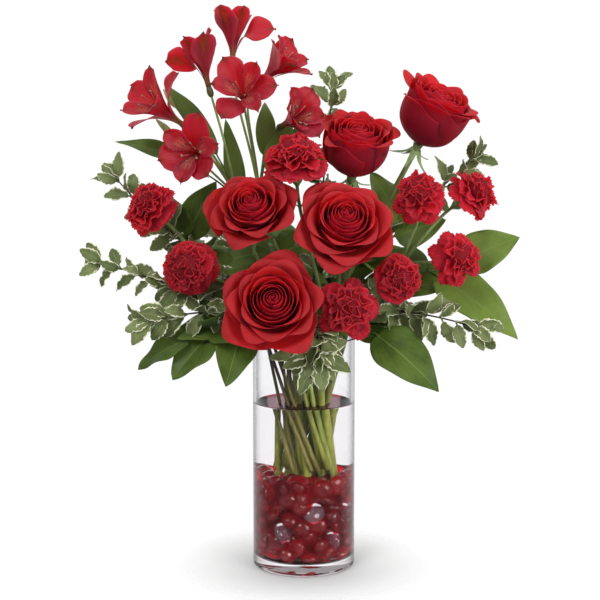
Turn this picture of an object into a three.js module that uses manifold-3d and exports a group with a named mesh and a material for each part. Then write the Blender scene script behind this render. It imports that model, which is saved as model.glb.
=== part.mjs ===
// Cut flowers in a clear glass cylinder: five red roses, spray carnations, alstroemeria,
// variegated pittosporum and lemon leaf, standing in water on a bed of red glass pebbles.
// Millimetres, +Z up. The origin is the middle of the vase's underside, and -Y is the front.
import * as THREE from "three";
import { mergeVertices } from "three/addons/utils/BufferGeometryUtils.js";
import Module from "manifold-3d";

const wasm = await Module();
wasm.setup();

// ---------- driving dimensions ----------
const VASE = { radius: 50.8, height: 228.6, wall: 3.2, base: 11, rimRound: 1.1, footRound: 2.5, sides: 36 };
const BORE = VASE.radius - VASE.wall;
const GAP = 0.35;
const WATER_LEVEL = 165;
const BED = { top: 89, core: 40, reach: 46.8, rings: 4, perRing: 6, crown: 4 };
const PEBBLE = { radius: 13.5, half: 6 };
const WATER_FLOOR = 98.6;
const NECK_Z = 220;
const DEEPEST_FOOT_Z = 24;
const SHELLS = { outer: 38, middle: 25, inner: 12 };
const TWIST = 118;
const STEM_R = { rose: 3, carnation: 1.8, alstroemeria: 2.4, pittosporum: 1.5, lemon: 1.6 };
const PETAL_T = 0.8;
const LEAF_T = 0.8;
const GOLDEN = 137.508;

// ---------- colours ----------
const COLOURS = {
  glass: [0xe8eef0, 0.05],
  water: [0xdfe6e8, 0.02],
  pebbles: [0x8e1220, 0.08],
  rose: [0xa30d18, 0.55],
  carnation: [0xb5101f, 0.65],
  alstroemeria: [0xb01a30, 0.5],
  stalk: [0x51702e, 0.6],
  lemon: [0x2f5a22, 0.45],
  pittosporum: [0x6f8560, 0.5],
};

// ---------- small tools ----------
const V = (x, y, z) => new THREE.Vector3(x, y, z);
const at = (p) => V(...p);
const rad = THREE.MathUtils.degToRad;
const mix = THREE.MathUtils.lerp;
const spread = (from, to, n) => Array.from({ length: n }, (_, i) => mix(from, to, n > 1 ? i / (n - 1) : 0));

// The same run of numbers from 0 to 1 each time.
function dice(seed) {
  let state = seed;
  return () => {
    state = (state * 9301 + 49297) % 233280;
    return state / 233280;
  };
}

// The way a head faces: yaw turns it from the front to the right, pitch lifts it.
function facing(yaw, pitch) {
  const [y, p] = [rad(yaw), rad(pitch)];
  return V(Math.sin(y) * Math.cos(p), -Math.cos(y) * Math.cos(p), Math.sin(p));
}

function around(radius, degrees, z) {
  return V(radius * Math.cos(rad(degrees)), radius * Math.sin(rad(degrees)), z);
}

function withoutEmptyTriangles(geometry) {
  const bare = geometry.clone();
  for (const name of Object.keys(bare.attributes)) if (name !== "position") bare.deleteAttribute(name);
  const merged = mergeVertices(bare, 1e-4);
  const index = merged.index.array;
  const kept = [];
  for (let i = 0; i < index.length; i += 3) {
    const [a, b, c] = [index[i], index[i + 1], index[i + 2]];
    if (a !== b && b !== c && c !== a) kept.push(a, b, c);
  }
  merged.setIndex(kept);
  return merged;
}

function toSolid(geometry) {
  const merged = withoutEmptyTriangles(geometry);
  return new wasm.Manifold(
    new wasm.Mesh({
      numProp: 3,
      vertProperties: new Float32Array(merged.attributes.position.array),
      triVerts: new Uint32Array(merged.index.array),
    }),
  );
}

function toGeometry(solid) {
  const mesh = solid.getMesh();
  const geometry = new THREE.BufferGeometry();
  geometry.setAttribute("position", new THREE.BufferAttribute(new Float32Array(mesh.vertProperties), 3));
  geometry.setIndex(new THREE.BufferAttribute(new Uint32Array(mesh.triVerts), 1));
  geometry.computeVertexNormals();
  return geometry;
}

function polyline(points) {
  const path = new THREE.CurvePath();
  for (let i = 1; i < points.length; i++) path.add(new THREE.LineCurve3(points[i - 1], points[i]));
  return path;
}

const fuse = (solids) => solids.reduce((whole, next) => whole.add(next));

function moveEach(geometry, place) {
  const position = geometry.attributes.position;
  for (let i = 0; i < position.count; i++) {
    const p = place(V(position.getX(i), position.getY(i), position.getZ(i)), i);
    position.setXYZ(i, p.x, p.y, p.z);
  }
  return geometry;
}

// One closed skin round the axis: rows of [radius, height], each given for a step k of the turn.
function skin(steps, rows) {
  const last = rows.length - 1;
  const sheet = new THREE.PlaneGeometry(2, 1, steps, last);
  return toSolid(
    moveEach(sheet, (p) => {
      const k = Math.round(((p.x + 1) / 2) * steps) % steps;
      const [radius, z] = rows[Math.round((p.y + 0.5) * last)](k);
      return around(radius, (360 / steps) * k, z);
    }),
  );
}

// ---------- blades: petals and leaves ----------
// Gives a sheet a thickness, with the same triangles on both faces.
function thicken(sheet, thickness) {
  const thin = withoutEmptyTriangles(sheet);
  thin.computeVertexNormals();
  const { position, normal } = thin.attributes;
  const n = position.count;
  const points = new Float32Array(n * 6);
  for (let i = 0; i < n; i++) {
    const p = V().fromBufferAttribute(position, i);
    const out = V().fromBufferAttribute(normal, i).multiplyScalar(thickness / 2);
    p.clone().add(out).toArray(points, i * 3);
    p.clone().sub(out).toArray(points, (i + n) * 3);
  }
  const front = thin.index.array;
  const faces = [];
  const edges = new Map();
  for (let i = 0; i < front.length; i += 3) {
    const [a, b, c] = [front[i], front[i + 1], front[i + 2]];
    faces.push(a, b, c, c + n, b + n, a + n);
    for (const [from, to] of [[a, b], [b, c], [c, a]]) edges.set(from + "," + to, [from, to]);
  }
  for (const [from, to] of edges.values()) {
    if (edges.has(to + "," + from)) continue;
    faces.push(to, from, from + n, to, from + n, to + n);
  }
  const blade = new THREE.BufferGeometry();
  blade.setAttribute("position", new THREE.BufferAttribute(points, 3));
  blade.setIndex(faces);
  return toSolid(blade);
}

// A blade on a grid: surface(u, v) gives a point, u from root 0 to tip 1 and v from -1 to 1 across.
function blade(along, across, surface, thickness) {
  const sheet = new THREE.PlaneGeometry(2, 1, across, along);
  moveEach(sheet, (p) => surface(Math.round((p.y + 0.5) * 1e6) / 1e6, p.x));
  return thicken(sheet, thickness);
}

// A leaf from its root in the stem to its tip, as [share of the length, share of the half width].
const LEAF_ROWS = {
  oval: [[0, 0], [0.3, 0.84], [0.6, 1], [0.86, 0.5], [1, 0]],
  short: [[0, 0], [0.36, 0.92], [0.72, 0.9], [1, 0]],
  lance: [[0, 0], [0.35, 0.9], [0.7, 0.85], [1, 0]],
  sepal: [[0, 0], [0.35, 1], [1, 0]],
};

function leafFrame(root, tip, up) {
  const along = tip.clone().sub(root);
  const length = along.length();
  along.normalize();
  const face = up.clone().addScaledVector(along, -up.dot(along)).normalize();
  const across = V().crossVectors(face, along);
  return { along, face, across, length };
}

function leafPoint(root, frame, share, side, halfWidth, arch, fold, wave) {
  const lift = arch * 4 * share * (1 - share) * frame.length + fold * Math.abs(side) * halfWidth + wave;
  return root
    .clone()
    .addScaledVector(frame.along, share * frame.length)
    .addScaledVector(frame.across, side * halfWidth)
    .addScaledVector(frame.face, lift);
}

function leaf({ root, tip, up, width, shape = "oval", across = 2, arch = 0.1, fold = 0.25, wave = 0 }) {
  const rows = LEAF_ROWS[shape];
  const frame = leafFrame(root, tip, up);
  const last = rows.length - 1;
  return blade(
    last,
    across,
    (u, v) => {
      const row = Math.round(u * last);
      const [share, half] = rows[row];
      const ripple = wave * v * half * (row % 2 ? 1 : -1);
      return leafPoint(root, frame, share, v, (half * width) / 2, arch, fold, ripple);
    },
    LEAF_T,
  );
}

// ---------- rods: stems ----------
// A round stem through points, with a radius at each of them.
function rod(points, radii, sides) {
  const last = points.length - 1;
  const round = new THREE.CylinderGeometry(1, 1, last, sides, last);
  const frames = [];
  let side = Math.abs(points[1].clone().sub(points[0]).normalize().x) < 0.9 ? V(1, 0, 0) : V(0, 1, 0);
  for (let i = 0; i <= last; i++) {
    const ahead = points[Math.min(i + 1, last)].clone().sub(points[Math.max(i - 1, 0)]).normalize();
    side = side.clone().addScaledVector(ahead, -side.dot(ahead)).normalize();
    frames.push([side, V().crossVectors(ahead, side)]);
  }
  return toSolid(
    moveEach(round, (p) => {
      const i = Math.round(p.y + last / 2);
      const [a, b] = frames[i];
      return points[i].clone().addScaledVector(a, p.z * radii[i]).addScaledVector(b, p.x * radii[i]);
    }),
  );
}

// ---------- where the stems run ----------
// Stems cross in the vase as a florist spirals them: straight lines, all with the same twist.
function neckAndFoot(shell, degrees) {
  const r = SHELLS[shell];
  return [around(r, degrees, NECK_Z), around(r, degrees + TWIST, DEEPEST_FOOT_Z)];
}

// Points of a stem from its foot through the neck of the vase to its head.
function stemPoints({ shell, turn, footZ, head, from, lead = 45, steps = 5 }) {
  const [neck, deepest] = neckAndFoot(shell, turn);
  const down = deepest.clone().sub(neck).normalize();
  const foot = neck.clone().addScaledVector(down, (neck.z - footZ) / -down.z);
  const bend = new THREE.CubicBezierCurve3(neck, neck.clone().addScaledVector(down, -lead), from, head);
  return [foot, ...bend.getPoints(steps)];
}

// ---------- the arrangement ----------
// at is the middle of a head, width its spread and depth its height along the way it faces.
const ROSES = {
  rose_left: { at: [-50, -75, 352], yaw: -8, pitch: 36, width: 86, depth: 38, open: 1, roll: 20, shell: "middle", turn: -65 },
  rose_right: { at: [39, -88, 340], yaw: 4, pitch: 32, width: 98, depth: 42, open: 1, roll: 75, shell: "outer", turn: -6 },
  rose_front: { at: [-28, -108, 271], yaw: 0, pitch: 22, width: 96, depth: 42, open: 1, roll: 140, shell: "outer", turn: -68 },
  rose_top: { at: [57, -12, 423], yaw: 22, pitch: 53, width: 68, depth: 62, open: 0, roll: 10, shell: "middle", turn: 8 },
  rose_high: { at: [131, -5, 452], yaw: 54, pitch: 53, width: 70, depth: 64, open: 0.15, roll: 200, shell: "middle", turn: 48 },
};
const ROSE_PETALS = 6;

const CARNATIONS = {
  carnation_far_left: { at: [-147, -42, 357], yaw: -42, pitch: 35, width: 52, roll: 0 },
  carnation_left: { at: [-107, -72, 303], yaw: -18, pitch: 6, width: 54, roll: 30 },
  carnation_top: { at: [-8, -59, 409], yaw: -5, pitch: 56, width: 60, roll: 10 },
  carnation_right_high: { at: [107, -52, 369], yaw: -8, pitch: 35, width: 54, roll: 50 },
  carnation_far_right: { at: [164, -14, 371], yaw: 73, pitch: 32, width: 50, roll: 20 },
  carnation_right: { at: [143, -57, 310], yaw: 32, pitch: 10, width: 54, roll: 70 },
  carnation_right_low: { at: [89, -86, 293], yaw: 14, pitch: 4, width: 45, roll: 15 },
  carnation_front: { at: [41, -100, 267], yaw: 6, pitch: 2, width: 57, roll: 40 },
};
const CARNATION_SPRAYS = {
  carnation_stem_left: { fork: [-85, -42, 290], shell: "outer", turn: -90, heads: ["carnation_far_left", "carnation_left"] },
  carnation_stem_top: { fork: null, shell: "middle", turn: -28, heads: ["carnation_top"] },
  carnation_stem_right: { fork: [95, -8, 300], shell: "outer", turn: 57, heads: ["carnation_right_high", "carnation_far_right", "carnation_right"] },
  carnation_stem_front: { fork: [48, -38, 262], shell: "outer", turn: -27, heads: ["carnation_right_low", "carnation_front"] },
};

// at is the root of the flower, where its tepals leave the ovary.
const ALSTROEMERIAS = {
  alstroemeria_top: { at: [-64, 16, 500], yaw: 150, pitch: 83, width: 56, depth: 50, roll: 10 },
  alstroemeria_top_left: { at: [-91, 8, 472], yaw: -100, pitch: 74, width: 54, depth: 50, roll: 40 },
  alstroemeria_middle: { at: [-58, -6, 458], yaw: 0, pitch: 22, width: 60, depth: 40, roll: 0 },
  alstroemeria_top_right: { at: [-40, 22, 478], yaw: 75, pitch: 40, width: 50, depth: 48, roll: 25 },
  alstroemeria_far_left: { at: [-119, -16, 438], yaw: -66, pitch: 27, width: 54, depth: 46, roll: 15 },
  alstroemeria_low_left: { at: [-99, -26, 408], yaw: -14, pitch: 2, width: 60, depth: 40, roll: 180 },
  alstroemeria_right: { at: [-20, -6, 436], yaw: 35, pitch: 16, width: 50, depth: 40, roll: 90 },
};
const ALSTROEMERIA_STEMS = {
  alstroemeria_stem_left: {
    umbel: [-66, -6, 372], shell: "inner", turn: -150,
    heads: ["alstroemeria_top_left", "alstroemeria_far_left", "alstroemeria_low_left"],
    buds: [[-125, 10, 454], [-128, 0, 427]],
    leaves: [
      { tip: [-133, 2, 480], from: 1, width: 15, up: [0.2, -1, 0.3] },
      { tip: [-179, -20, 424], from: 0.97, width: 16, up: [0, -0.7, 0.7] },
      { tip: [-78, 52, 440], from: 0.94, width: 16, up: [0, 1, 0.2] },
    ],
  },
  alstroemeria_stem_right: {
    umbel: [-44, 4, 374], shell: "inner", turn: 60,
    heads: ["alstroemeria_top", "alstroemeria_middle", "alstroemeria_top_right", "alstroemeria_right"],
    buds: [],
    leaves: [
      { tip: [-38, 16, 462], from: 1, width: 15, up: [0.2, -1, 0.1] },
      { tip: [-18, 18, 446], from: 0.97, width: 17, up: [0.1, -1, 0.3] },
      { tip: [10, 30, 456], from: 0.93, width: 15, up: [0.3, -1, 0] },
    ],
  },
};

// Lemon leaf: a thin stem with large leaves. from is how far along the stem above the neck a leaf
// grows, and up is the way its upper face looks.
const LEMON_BRANCHES = {
  lemon_leaf_left: {
    end: [-118, 10, 322], shell: "middle", turn: -100,
    leaves: [
      { tip: [-86, 4, 382], from: 1, width: 38, up: [-0.2, -1, 0.1] },
      { tip: [-132, 14, 366], from: 1, width: 34, up: [-0.3, -1, 0.2] },
      { tip: [-158, -16, 272], from: 0.82, width: 38, up: [-0.3, -0.9, 0.5] },
    ],
  },
  lemon_leaf_middle: {
    end: [-34, 26, 312], shell: "inner", turn: 170,
    leaves: [
      { tip: [-80, 14, 330], from: 1, width: 38, up: [0, -1, 0.2] },
      { tip: [16, 30, 322], from: 0.96, width: 40, up: [0, -1, 0.2] },
      { tip: [-78, 6, 270], from: 0.7, width: 40, up: [0, -1, 0.3] },
    ],
  },
  lemon_leaf_low_left: {
    end: [-104, -58, 236], shell: "outer", turn: -106,
    leaves: [
      { tip: [-157, -62, 206], from: 1, width: 30, up: [-0.3, -0.7, 0.8] },
      { tip: [-123, -74, 198], from: 0.8, width: 40, up: [-0.2, -0.8, 0.6] },
      { tip: [-72, -90, 194], from: 0.55, width: 42, up: [0, -1, 0.3] },
    ],
  },
  lemon_leaf_right: {
    end: [150, 2, 300], shell: "outer", turn: 80,
    leaves: [
      { tip: [210, -10, 328], from: 1, width: 44, up: [-0.2, -1, 0.4] },
      { tip: [207, -34, 233], from: 0.85, width: 48, up: [0, -0.9, 0.6] },
      { tip: [142, -14, 280], from: 0.6, width: 30, up: [0, -1, 0.3] },
    ],
  },
  lemon_leaf_behind_right: {
    end: [101, 30, 334], via: [62, 46, 306], shell: "middle", turn: 88,
    leaves: [
      { tip: [68, 48, 392], from: 1, width: 36, up: [0.2, -1, 0.2] },
      { tip: [142, 24, 344], from: 0.9, width: 38, up: [0, -1, 0.3] },
    ],
  },
  lemon_leaf_low_right: {
    end: [64, -44, 240], via: [62, -14, 246], shell: "outer", turn: 15, lead: 24,
    leaves: [
      { tip: [126, -76, 188], from: 1, width: 50, up: [0.1, -0.9, 0.5] },
    ],
  },
  lemon_leaf_back: {
    end: [-8, 92, 300], shell: "outer", turn: 112,
    leaves: [
      { tip: [-58, 112, 348], from: 1, width: 44, up: [-0.2, 1, 0.3] },
      { tip: [34, 118, 336], from: 1, width: 42, up: [0.2, 1, 0.3] },
      { tip: [52, 96, 236], from: 0.7, width: 44, up: [0.2, 1, 0.4] },
      { tip: [-66, 92, 240], from: 0.6, width: 44, up: [-0.2, 1, 0.4] },
    ],
  },
};

// Variegated pittosporum: a branch to its tip, leafy over the last part of it.
const PITTOSPORUM_BRANCHES = {
  pittosporum_left_high: { tip: [-180, -8, 382], from: [-128, 2, 318], shell: "middle", turn: -142, leafy: 0.42, count: 9, seed: 3 },
  pittosporum_left: { tip: [-190, -52, 306], from: [-130, -62, 286], shell: "outer", turn: -152, leafy: 0.48, count: 9, seed: 7 },
  pittosporum_low_left: { tip: [-142, -72, 252], from: [-92, -66, 266], shell: "outer", turn: -136, leafy: 0.72, count: 11, seed: 11 },
  pittosporum_top: { tip: [28, 12, 470], from: [22, 2, 406], shell: "inner", turn: -60, leafy: 0.36, count: 8, seed: 5 },
  pittosporum_right_high: { tip: [166, 14, 404], from: [116, 68, 345], shell: "middle", turn: 125, leafy: 0.3, count: 7, seed: 9 },
  pittosporum_low_right: { tip: [160, -62, 246], from: [98, -52, 264], shell: "outer", turn: 36, leafy: 0.6, count: 10, seed: 13 },
  pittosporum_front: { tip: [12, -84, 222], from: [10, -66, 262], shell: "outer", turn: -47, leafy: 0.22, count: 7, seed: 2 },
  pittosporum_back_left: { tip: [-96, 92, 330], from: [-50, 60, 290], shell: "outer", turn: 165, leafy: 0.55, count: 8, seed: 17 },
  pittosporum_back_right: { tip: [92, 88, 352], from: [52, 56, 300], shell: "middle", turn: 160, leafy: 0.55, count: 8, seed: 19 },
};
const PITTOSPORUM_LEAF = { length: 34, width: 16 };

// ---------- heads ----------
function headTurn(way, roll) {
  const tilt = new THREE.Quaternion().setFromUnitVectors(V(0, 0, 1), way);
  return tilt.multiply(new THREE.Quaternion().setFromAxisAngle(V(0, 0, 1), rad(roll)));
}

const bezier = (a, b, c, d, t) => {
  const s = 1 - t;
  return s * s * s * a + 3 * s * s * t * b + 3 * s * t * t * c + t * t * t * d;
};

// A rose petal's outline from root to rim, as radius and height. s is 0 for the heart and 1 outside.
function rosePetalProfile(s, open, width, depth) {
  const full = width / 2;
  const R = full * mix(0.2 + 0.8 * s ** 0.8, 0.12 + 0.88 * s ** 0.9, open);
  const Z = depth * mix(1 - 0.1 * s, 1 - 0.6 * s ** 1.7, open);
  const reflex = s * s * open;
  return {
    r: [2 + 3 * s, mix(R * 1.1, R * 0.8 + 2, open), R * mix(1.06, 1 - 0.2 * s, open), R * (1 + 0.06 * s * (1 - open))],
    z: [3, mix(4, 8 - 8 * s, open), Z * mix(0.72, 0.7 + 0.3 * s, open) + 5 * reflex, Z],
  };
}

function rosePetal(i, spec) {
  const s = mix(0.42, 1, i / (ROSE_PETALS - 1));
  const { r, z } = rosePetalProfile(s, spec.open, spec.width, spec.depth);
  const middle = i * GOLDEN;
  const half = mix(66, 42, s);
  return blade(
    3,
    2,
    (u, v) => {
      const edge = Math.abs(v);
      const t = u * (1 - 0.16 * edge ** 3);
      const radius = bezier(...r, t) + 1.1 * v * u + 1.5 * s * edge ** 2 * u ** 3;
      return around(radius, middle + half * v, bezier(...z, t) - 1.2 * s * edge * u);
    },
    PETAL_T,
  );
}

// The heart of a rose: cups one in another, three petals to a cup with a dip where they meet.
const ROSE_CUPS = [
  { wall: 1, floor: 0.76, top: 0.9 },
  { wall: 0.7, floor: 0.48, top: 0.97 },
  { wall: 0.4, floor: 0, top: 1 },
];

function roseHeart(spec) {
  const steps = 9;
  const wide = (spec.width / 2) * mix(0.42, 0.36, spec.open);
  const d = spec.depth * 0.96;
  const rows = [() => [0, 0], () => [5, 0], () => [wide * 0.9, 0.3 * d]];
  ROSE_CUPS.forEach(({ wall, floor, top }, cup) => {
    rows.push((k) => [wide * wall, d * top - ((k + cup) % 3 ? 0 : 4)]);
    rows.push(() => [wide * floor, d * (top - 0.16)]);
  });
  return skin(steps, rows);
}

function roseBloom(spec) {
  const petals = spread(0, ROSE_PETALS - 1, ROSE_PETALS).map((i) => rosePetal(i, spec));
  return fuse([roseHeart(spec), ...petals]);
}

// A carnation is ruffled layers one over another, each cut into petals with toothed rims.
// A layer is [degrees from the axis, reach of its rim, height where it leaves the middle].
const CARNATION_LAYERS = [
  [95, 1, 0],
  [66, 0.97, 0.24],
  [38, 0.92, 0.4],
];
const RUFFLE = [[0.76, 0], [1, 1], [0.95, -1]];
const CARNATION_PETALS = 5;

function carnationBloom(spec) {
  const radius = spec.width / 2;
  const rows = [() => [0, 0]];
  CARNATION_LAYERS.forEach(([lean, reach, rise], layer) => {
    const rim = (lift) => (k) => {
      const [share, wave] = RUFFLE[(k + layer) % RUFFLE.length];
      const tilt = rad(lean + 13 * wave);
      const far = radius * reach * share;
      return [far * Math.sin(tilt), radius * rise * 0.8 + far * Math.cos(tilt) + 2.4 + lift];
    };
    rows.push(() => [layer ? 0.3 * radius : 4.5, radius * rise], rim(-PETAL_T / 2), rim(PETAL_T / 2));
  });
  rows.push(() => [0, 0.5 * radius]);
  return skin(CARNATION_PETALS * RUFFLE.length, rows);
}

// Tepal rows: [share of the way from root to tip, half width], broad outside and narrow inside.
const TEPALS = {
  outer: [[0, 1.2], [0.55, 6.5], [0.82, 11.5], [1, 0]],
  inner: [[0, 1], [0.72, 6], [1, 0]],
};

function tepal(kind, degrees, spec) {
  const rows = TEPALS[kind];
  const mouth = (spec.width / 2) * (kind === "outer" ? 1 : 0.86);
  const tall = spec.depth * (kind === "outer" ? 0.94 : 1);
  const last = rows.length - 1;
  return blade(
    last,
    kind === "outer" ? 2 : 1,
    (u, v) => {
      const [share, half] = rows[Math.round(u * last)];
      const apart = kind === "outer" ? 1.4 - 1.2 * Math.abs(v) : -1.6 + 1.4 * Math.abs(v);
      const r = bezier(2.2, 3.5, mouth * 0.42, mouth, share) + apart * Math.min(1, share * 2);
      const z = bezier(1.5, tall * 0.45, tall * 0.95, tall * 0.92, share);
      const side = half * v;
      const turn = rad(degrees);
      return V(r * Math.cos(turn) - side * Math.sin(turn), r * Math.sin(turn) + side * Math.cos(turn), z);
    },
    PETAL_T,
  );
}

function alstroemeriaBloom(spec) {
  const throat = toSolid(new THREE.CylinderGeometry(4.2, 3, 8, 6).rotateX(Math.PI / 2).translate(0, 0, 4));
  const tepals = spread(0, 5, 6).map((i) => tepal(i % 2 ? "inner" : "outer", i * 60, spec));
  return fuse([throat, ...tepals]);
}

// ---------- the space that is taken ----------
// Leaves set by rule keep out of heads, which are kept as flattened balls, and of stems and leaves.
const taken = { heads: [], balls: [] };

function takeHead(centre, way, radius, half) {
  taken.heads.push({ centre, way, radius, half });
}

function takeBalls(points, radius, owner) {
  for (const p of points) taken.balls.push({ p, radius, owner });
}

function takeStem(points, radius, owner) {
  for (let i = 1; i < points.length; i++) {
    const span = points[i].distanceTo(points[i - 1]);
    const n = Math.max(1, Math.ceil(span / 6));
    for (let k = 0; k < n; k++) takeBalls([points[i - 1].clone().lerp(points[i], k / n)], radius, owner);
  }
}

function isFree(points, owner) {
  return points.every((p) => {
    if (Math.hypot(p.x, p.y) < VASE.radius + 4 && p.z < VASE.height + 5) return false;
    const inHead = taken.heads.some(({ centre, way, radius, half }) => {
      const out = p.clone().sub(centre);
      const h = out.dot(way);
      return (out.lengthSq() - h * h) / radius ** 2 + h ** 2 / half ** 2 < 1;
    });
    return !inHead && !taken.balls.some((b) => b.owner !== owner && b.p.distanceTo(p) < b.radius);
  });
}

// ---------- nodes ----------
const whole = new THREE.Group();

function addNode(name, solid, colour, place) {
  const [hex, roughness] = COLOURS[colour];
  const material = new THREE.MeshStandardMaterial({ color: hex, roughness, metalness: 0, name: colour });
  const mesh = new THREE.Mesh(toGeometry(solid), material);
  mesh.name = name;
  if (place) {
    mesh.position.copy(place.position);
    mesh.quaternion.copy(place.quaternion);
  }
  whole.add(mesh);
}

const holes = [];

// Keeps the straight part of a stem in the vase as a hole a little wider than the stem.
function keepHole(points, radius, sides) {
  const [foot, neck] = points;
  const down = foot.clone().sub(neck).normalize();
  const low = foot.clone().addScaledVector(down, GAP + 0.4);
  holes.push(rod([low, neck], [radius + 0.5, radius + 0.5], sides));
}

function vase() {
  const { radius, height, wall, base, rimRound, footRound, sides } = VASE;
  const profile = [
    [0, 0], [radius - footRound, 0], [radius, footRound],
    [radius, height - rimRound], [radius - rimRound, height], [radius - wall + rimRound, height],
    [BORE, height - rimRound], [BORE, base + 3], [BORE - 3, base], [0, base],
  ];
  return toSolid(
    new THREE.LatheGeometry(profile.map(([x, y]) => new THREE.Vector2(x, y)), sides).rotateX(Math.PI / 2),
  );
}

// One flat glass pebble, turned any way, as far out as the glass lets it.
function pebble(degrees, z, way, reach) {
  const turn = headTurn(way, 0);
  const out = around(1, degrees, 0);
  const inward = out.clone().applyQuaternion(turn.clone().invert());
  const { radius, half } = PEBBLE;
  const extent = Math.hypot(inward.x * radius, inward.y * radius, inward.z * half);
  const ball = new THREE.SphereGeometry(1, 6, 3).rotateX(Math.PI / 2).scale(radius, radius, half);
  return toSolid(ball.applyQuaternion(turn).translate(...around(reach - extent, degrees, z).toArray()));
}

function pebbleBed() {
  const roll = dice(41);
  const low = VASE.base + GAP;
  const tall = BED.top - low;
  const stones = [
    toSolid(new THREE.CylinderGeometry(BED.core, BED.core, tall, 12).rotateX(Math.PI / 2).translate(0, 0, low + tall / 2)),
  ];
  for (let ring = 0; ring < BED.rings; ring++)
    for (let i = 0; i < BED.perRing; i++) {
      const degrees = (360 / BED.perRing) * (i + (ring % 2) / 2 + 0.3 * (roll() - 0.5));
      const z = low + PEBBLE.radius * 0.96 + ring * 19.4 + 2 * roll();
      stones.push(pebble(degrees, z, facing(90 + degrees + 70 * (roll() - 0.5), 70 * (roll() - 0.5)), BED.reach));
    }
  for (let i = 0; i < BED.crown; i++) {
    const reach = 16 + (i % 3) * 11;
    stones.push(pebble(i * GOLDEN, BED.top + 1, facing(360 * roll(), 60 + 28 * roll()), reach + 4));
  }
  const room = toSolid(
    new THREE.CylinderGeometry(BED.reach + 0.5, BED.reach + 0.5, WATER_FLOOR - GAP - low, VASE.sides)
      .rotateX(Math.PI / 2)
      .translate(0, 0, (WATER_FLOOR - GAP + low) / 2),
  );
  return fuse(stones).intersect(room);
}

function water() {
  const tall = WATER_LEVEL - WATER_FLOOR;
  return toSolid(
    new THREE.CylinderGeometry(BORE - GAP, BORE - GAP, tall, VASE.sides)
      .rotateX(Math.PI / 2)
      .translate(0, 0, WATER_FLOOR + tall / 2),
  );
}

// ---------- roses ----------
function addRose(name, spec) {
  const way = facing(spec.yaw, spec.pitch);
  const root = at(spec.at).addScaledVector(way, -spec.depth / 2);
  const turn = headTurn(way, spec.roll);
  addNode(name + "_bloom", roseBloom(spec), "rose", { position: root, quaternion: turn });
  takeHead(at(spec.at), way, spec.width / 2 + 4, spec.depth * mix(0.56, 0.5, spec.open) + 4);

  const top = root.clone().addScaledVector(way, -0.4);
  const points = stemPoints({
    ...spec, footZ: 30 + 10 * Math.abs(Math.sin(spec.turn)), head: top, from: top.clone().addScaledVector(way, -58), steps: 5,
  });
  const r = STEM_R.rose;
  const hip = [top.clone().addScaledVector(way, -14), top.clone().addScaledVector(way, -7), top];
  points.splice(points.length - 1, 1, ...hip);
  const radii = [r, ...Array(points.length - 4).fill(r), r, 5.6, 6];
  const sepals = spread(0, 4, 5).map((i) => {
    const out = around(1, i * 72 + 20, -0.55 - 0.2 * (i % 2)).applyQuaternion(turn);
    const from = top.clone().addScaledVector(way, -4);
    return leaf({
      root: from.clone().addScaledVector(out, 2), tip: from.clone().addScaledVector(out, 22),
      up: way, width: 7, shape: "sepal", across: 1, arch: -0.12, fold: 0,
    });
  });
  keepHole(points, r, 5);
  takeStem(points, r + 3, name);
  addNode(name + "_stem", fuse([rod(points, radii, 5), ...sepals]), "stalk");
}

// ---------- carnations ----------
const CALYX = [[0.4, 4.2], [4, 6], [13, 5.4], [20, 3]];

function calyxPoints(spec) {
  const way = facing(spec.yaw, spec.pitch);
  const root = at(spec.at).addScaledVector(way, -0.33 * spec.width);
  return { way, root, points: CALYX.map(([down]) => root.clone().addScaledVector(way, -down)) };
}

function addCarnation(name, spec) {
  const { way, root } = calyxPoints(spec);
  addNode(name, carnationBloom(spec), "carnation", { position: root, quaternion: headTurn(way, spec.roll) });
  takeHead(at(spec.at), way, spec.width / 2 + 3, spec.width * 0.42);
}

function addCarnationSpray(name, spec) {
  const r = STEM_R.carnation;
  const parts = [];
  const first = calyxPoints(CARNATIONS[spec.heads[0]]);
  const end = spec.fork ? at(spec.fork) : first.points[3];
  const from = spec.fork
    ? end.clone().lerp(V(0, 0, NECK_Z + 30), 0.35)
    : end.clone().addScaledVector(first.way, -50);
  const main = stemPoints({ ...spec, footZ: 46, head: end, from, steps: 5 });
  parts.push(rod(main, main.map(() => r), 4));
  keepHole(main, r, 4);
  takeStem(main, r + 3, name);
  for (const head of spec.heads) {
    const { way, points } = calyxPoints(CARNATIONS[head]);
    const [top, low] = [points[0], points[3]];
    const tube = [...points].reverse();
    const radii = CALYX.map(([, radius]) => radius).reverse();
    if (spec.fork) {
      const bend = new THREE.CubicBezierCurve3(
        end, end.clone().lerp(low, 0.35).add(V(0, 0, 4)), low.clone().addScaledVector(way, -16), low,
      );
      const twig = bend.getPoints(3);
      parts.push(rod([...twig.slice(0, -1), ...tube], [r, r, r, ...radii], 5));
      takeStem(twig, r + 3, name);
    } else {
      parts.push(rod([low.clone().addScaledVector(way, -3), ...tube], [r, ...radii], 5));
    }
    takeStem([low, top], 8, name);
  }
  addNode(name, fuse(parts), "stalk");
}

// ---------- alstroemerias ----------
function addAlstroemeria(name, spec) {
  const way = facing(spec.yaw, spec.pitch);
  addNode(name, alstroemeriaBloom(spec), "alstroemeria", { position: at(spec.at), quaternion: headTurn(way, spec.roll) });
  takeHead(at(spec.at).addScaledVector(way, spec.depth * 0.62), way, spec.width / 2, spec.depth * 0.5);
}

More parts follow.
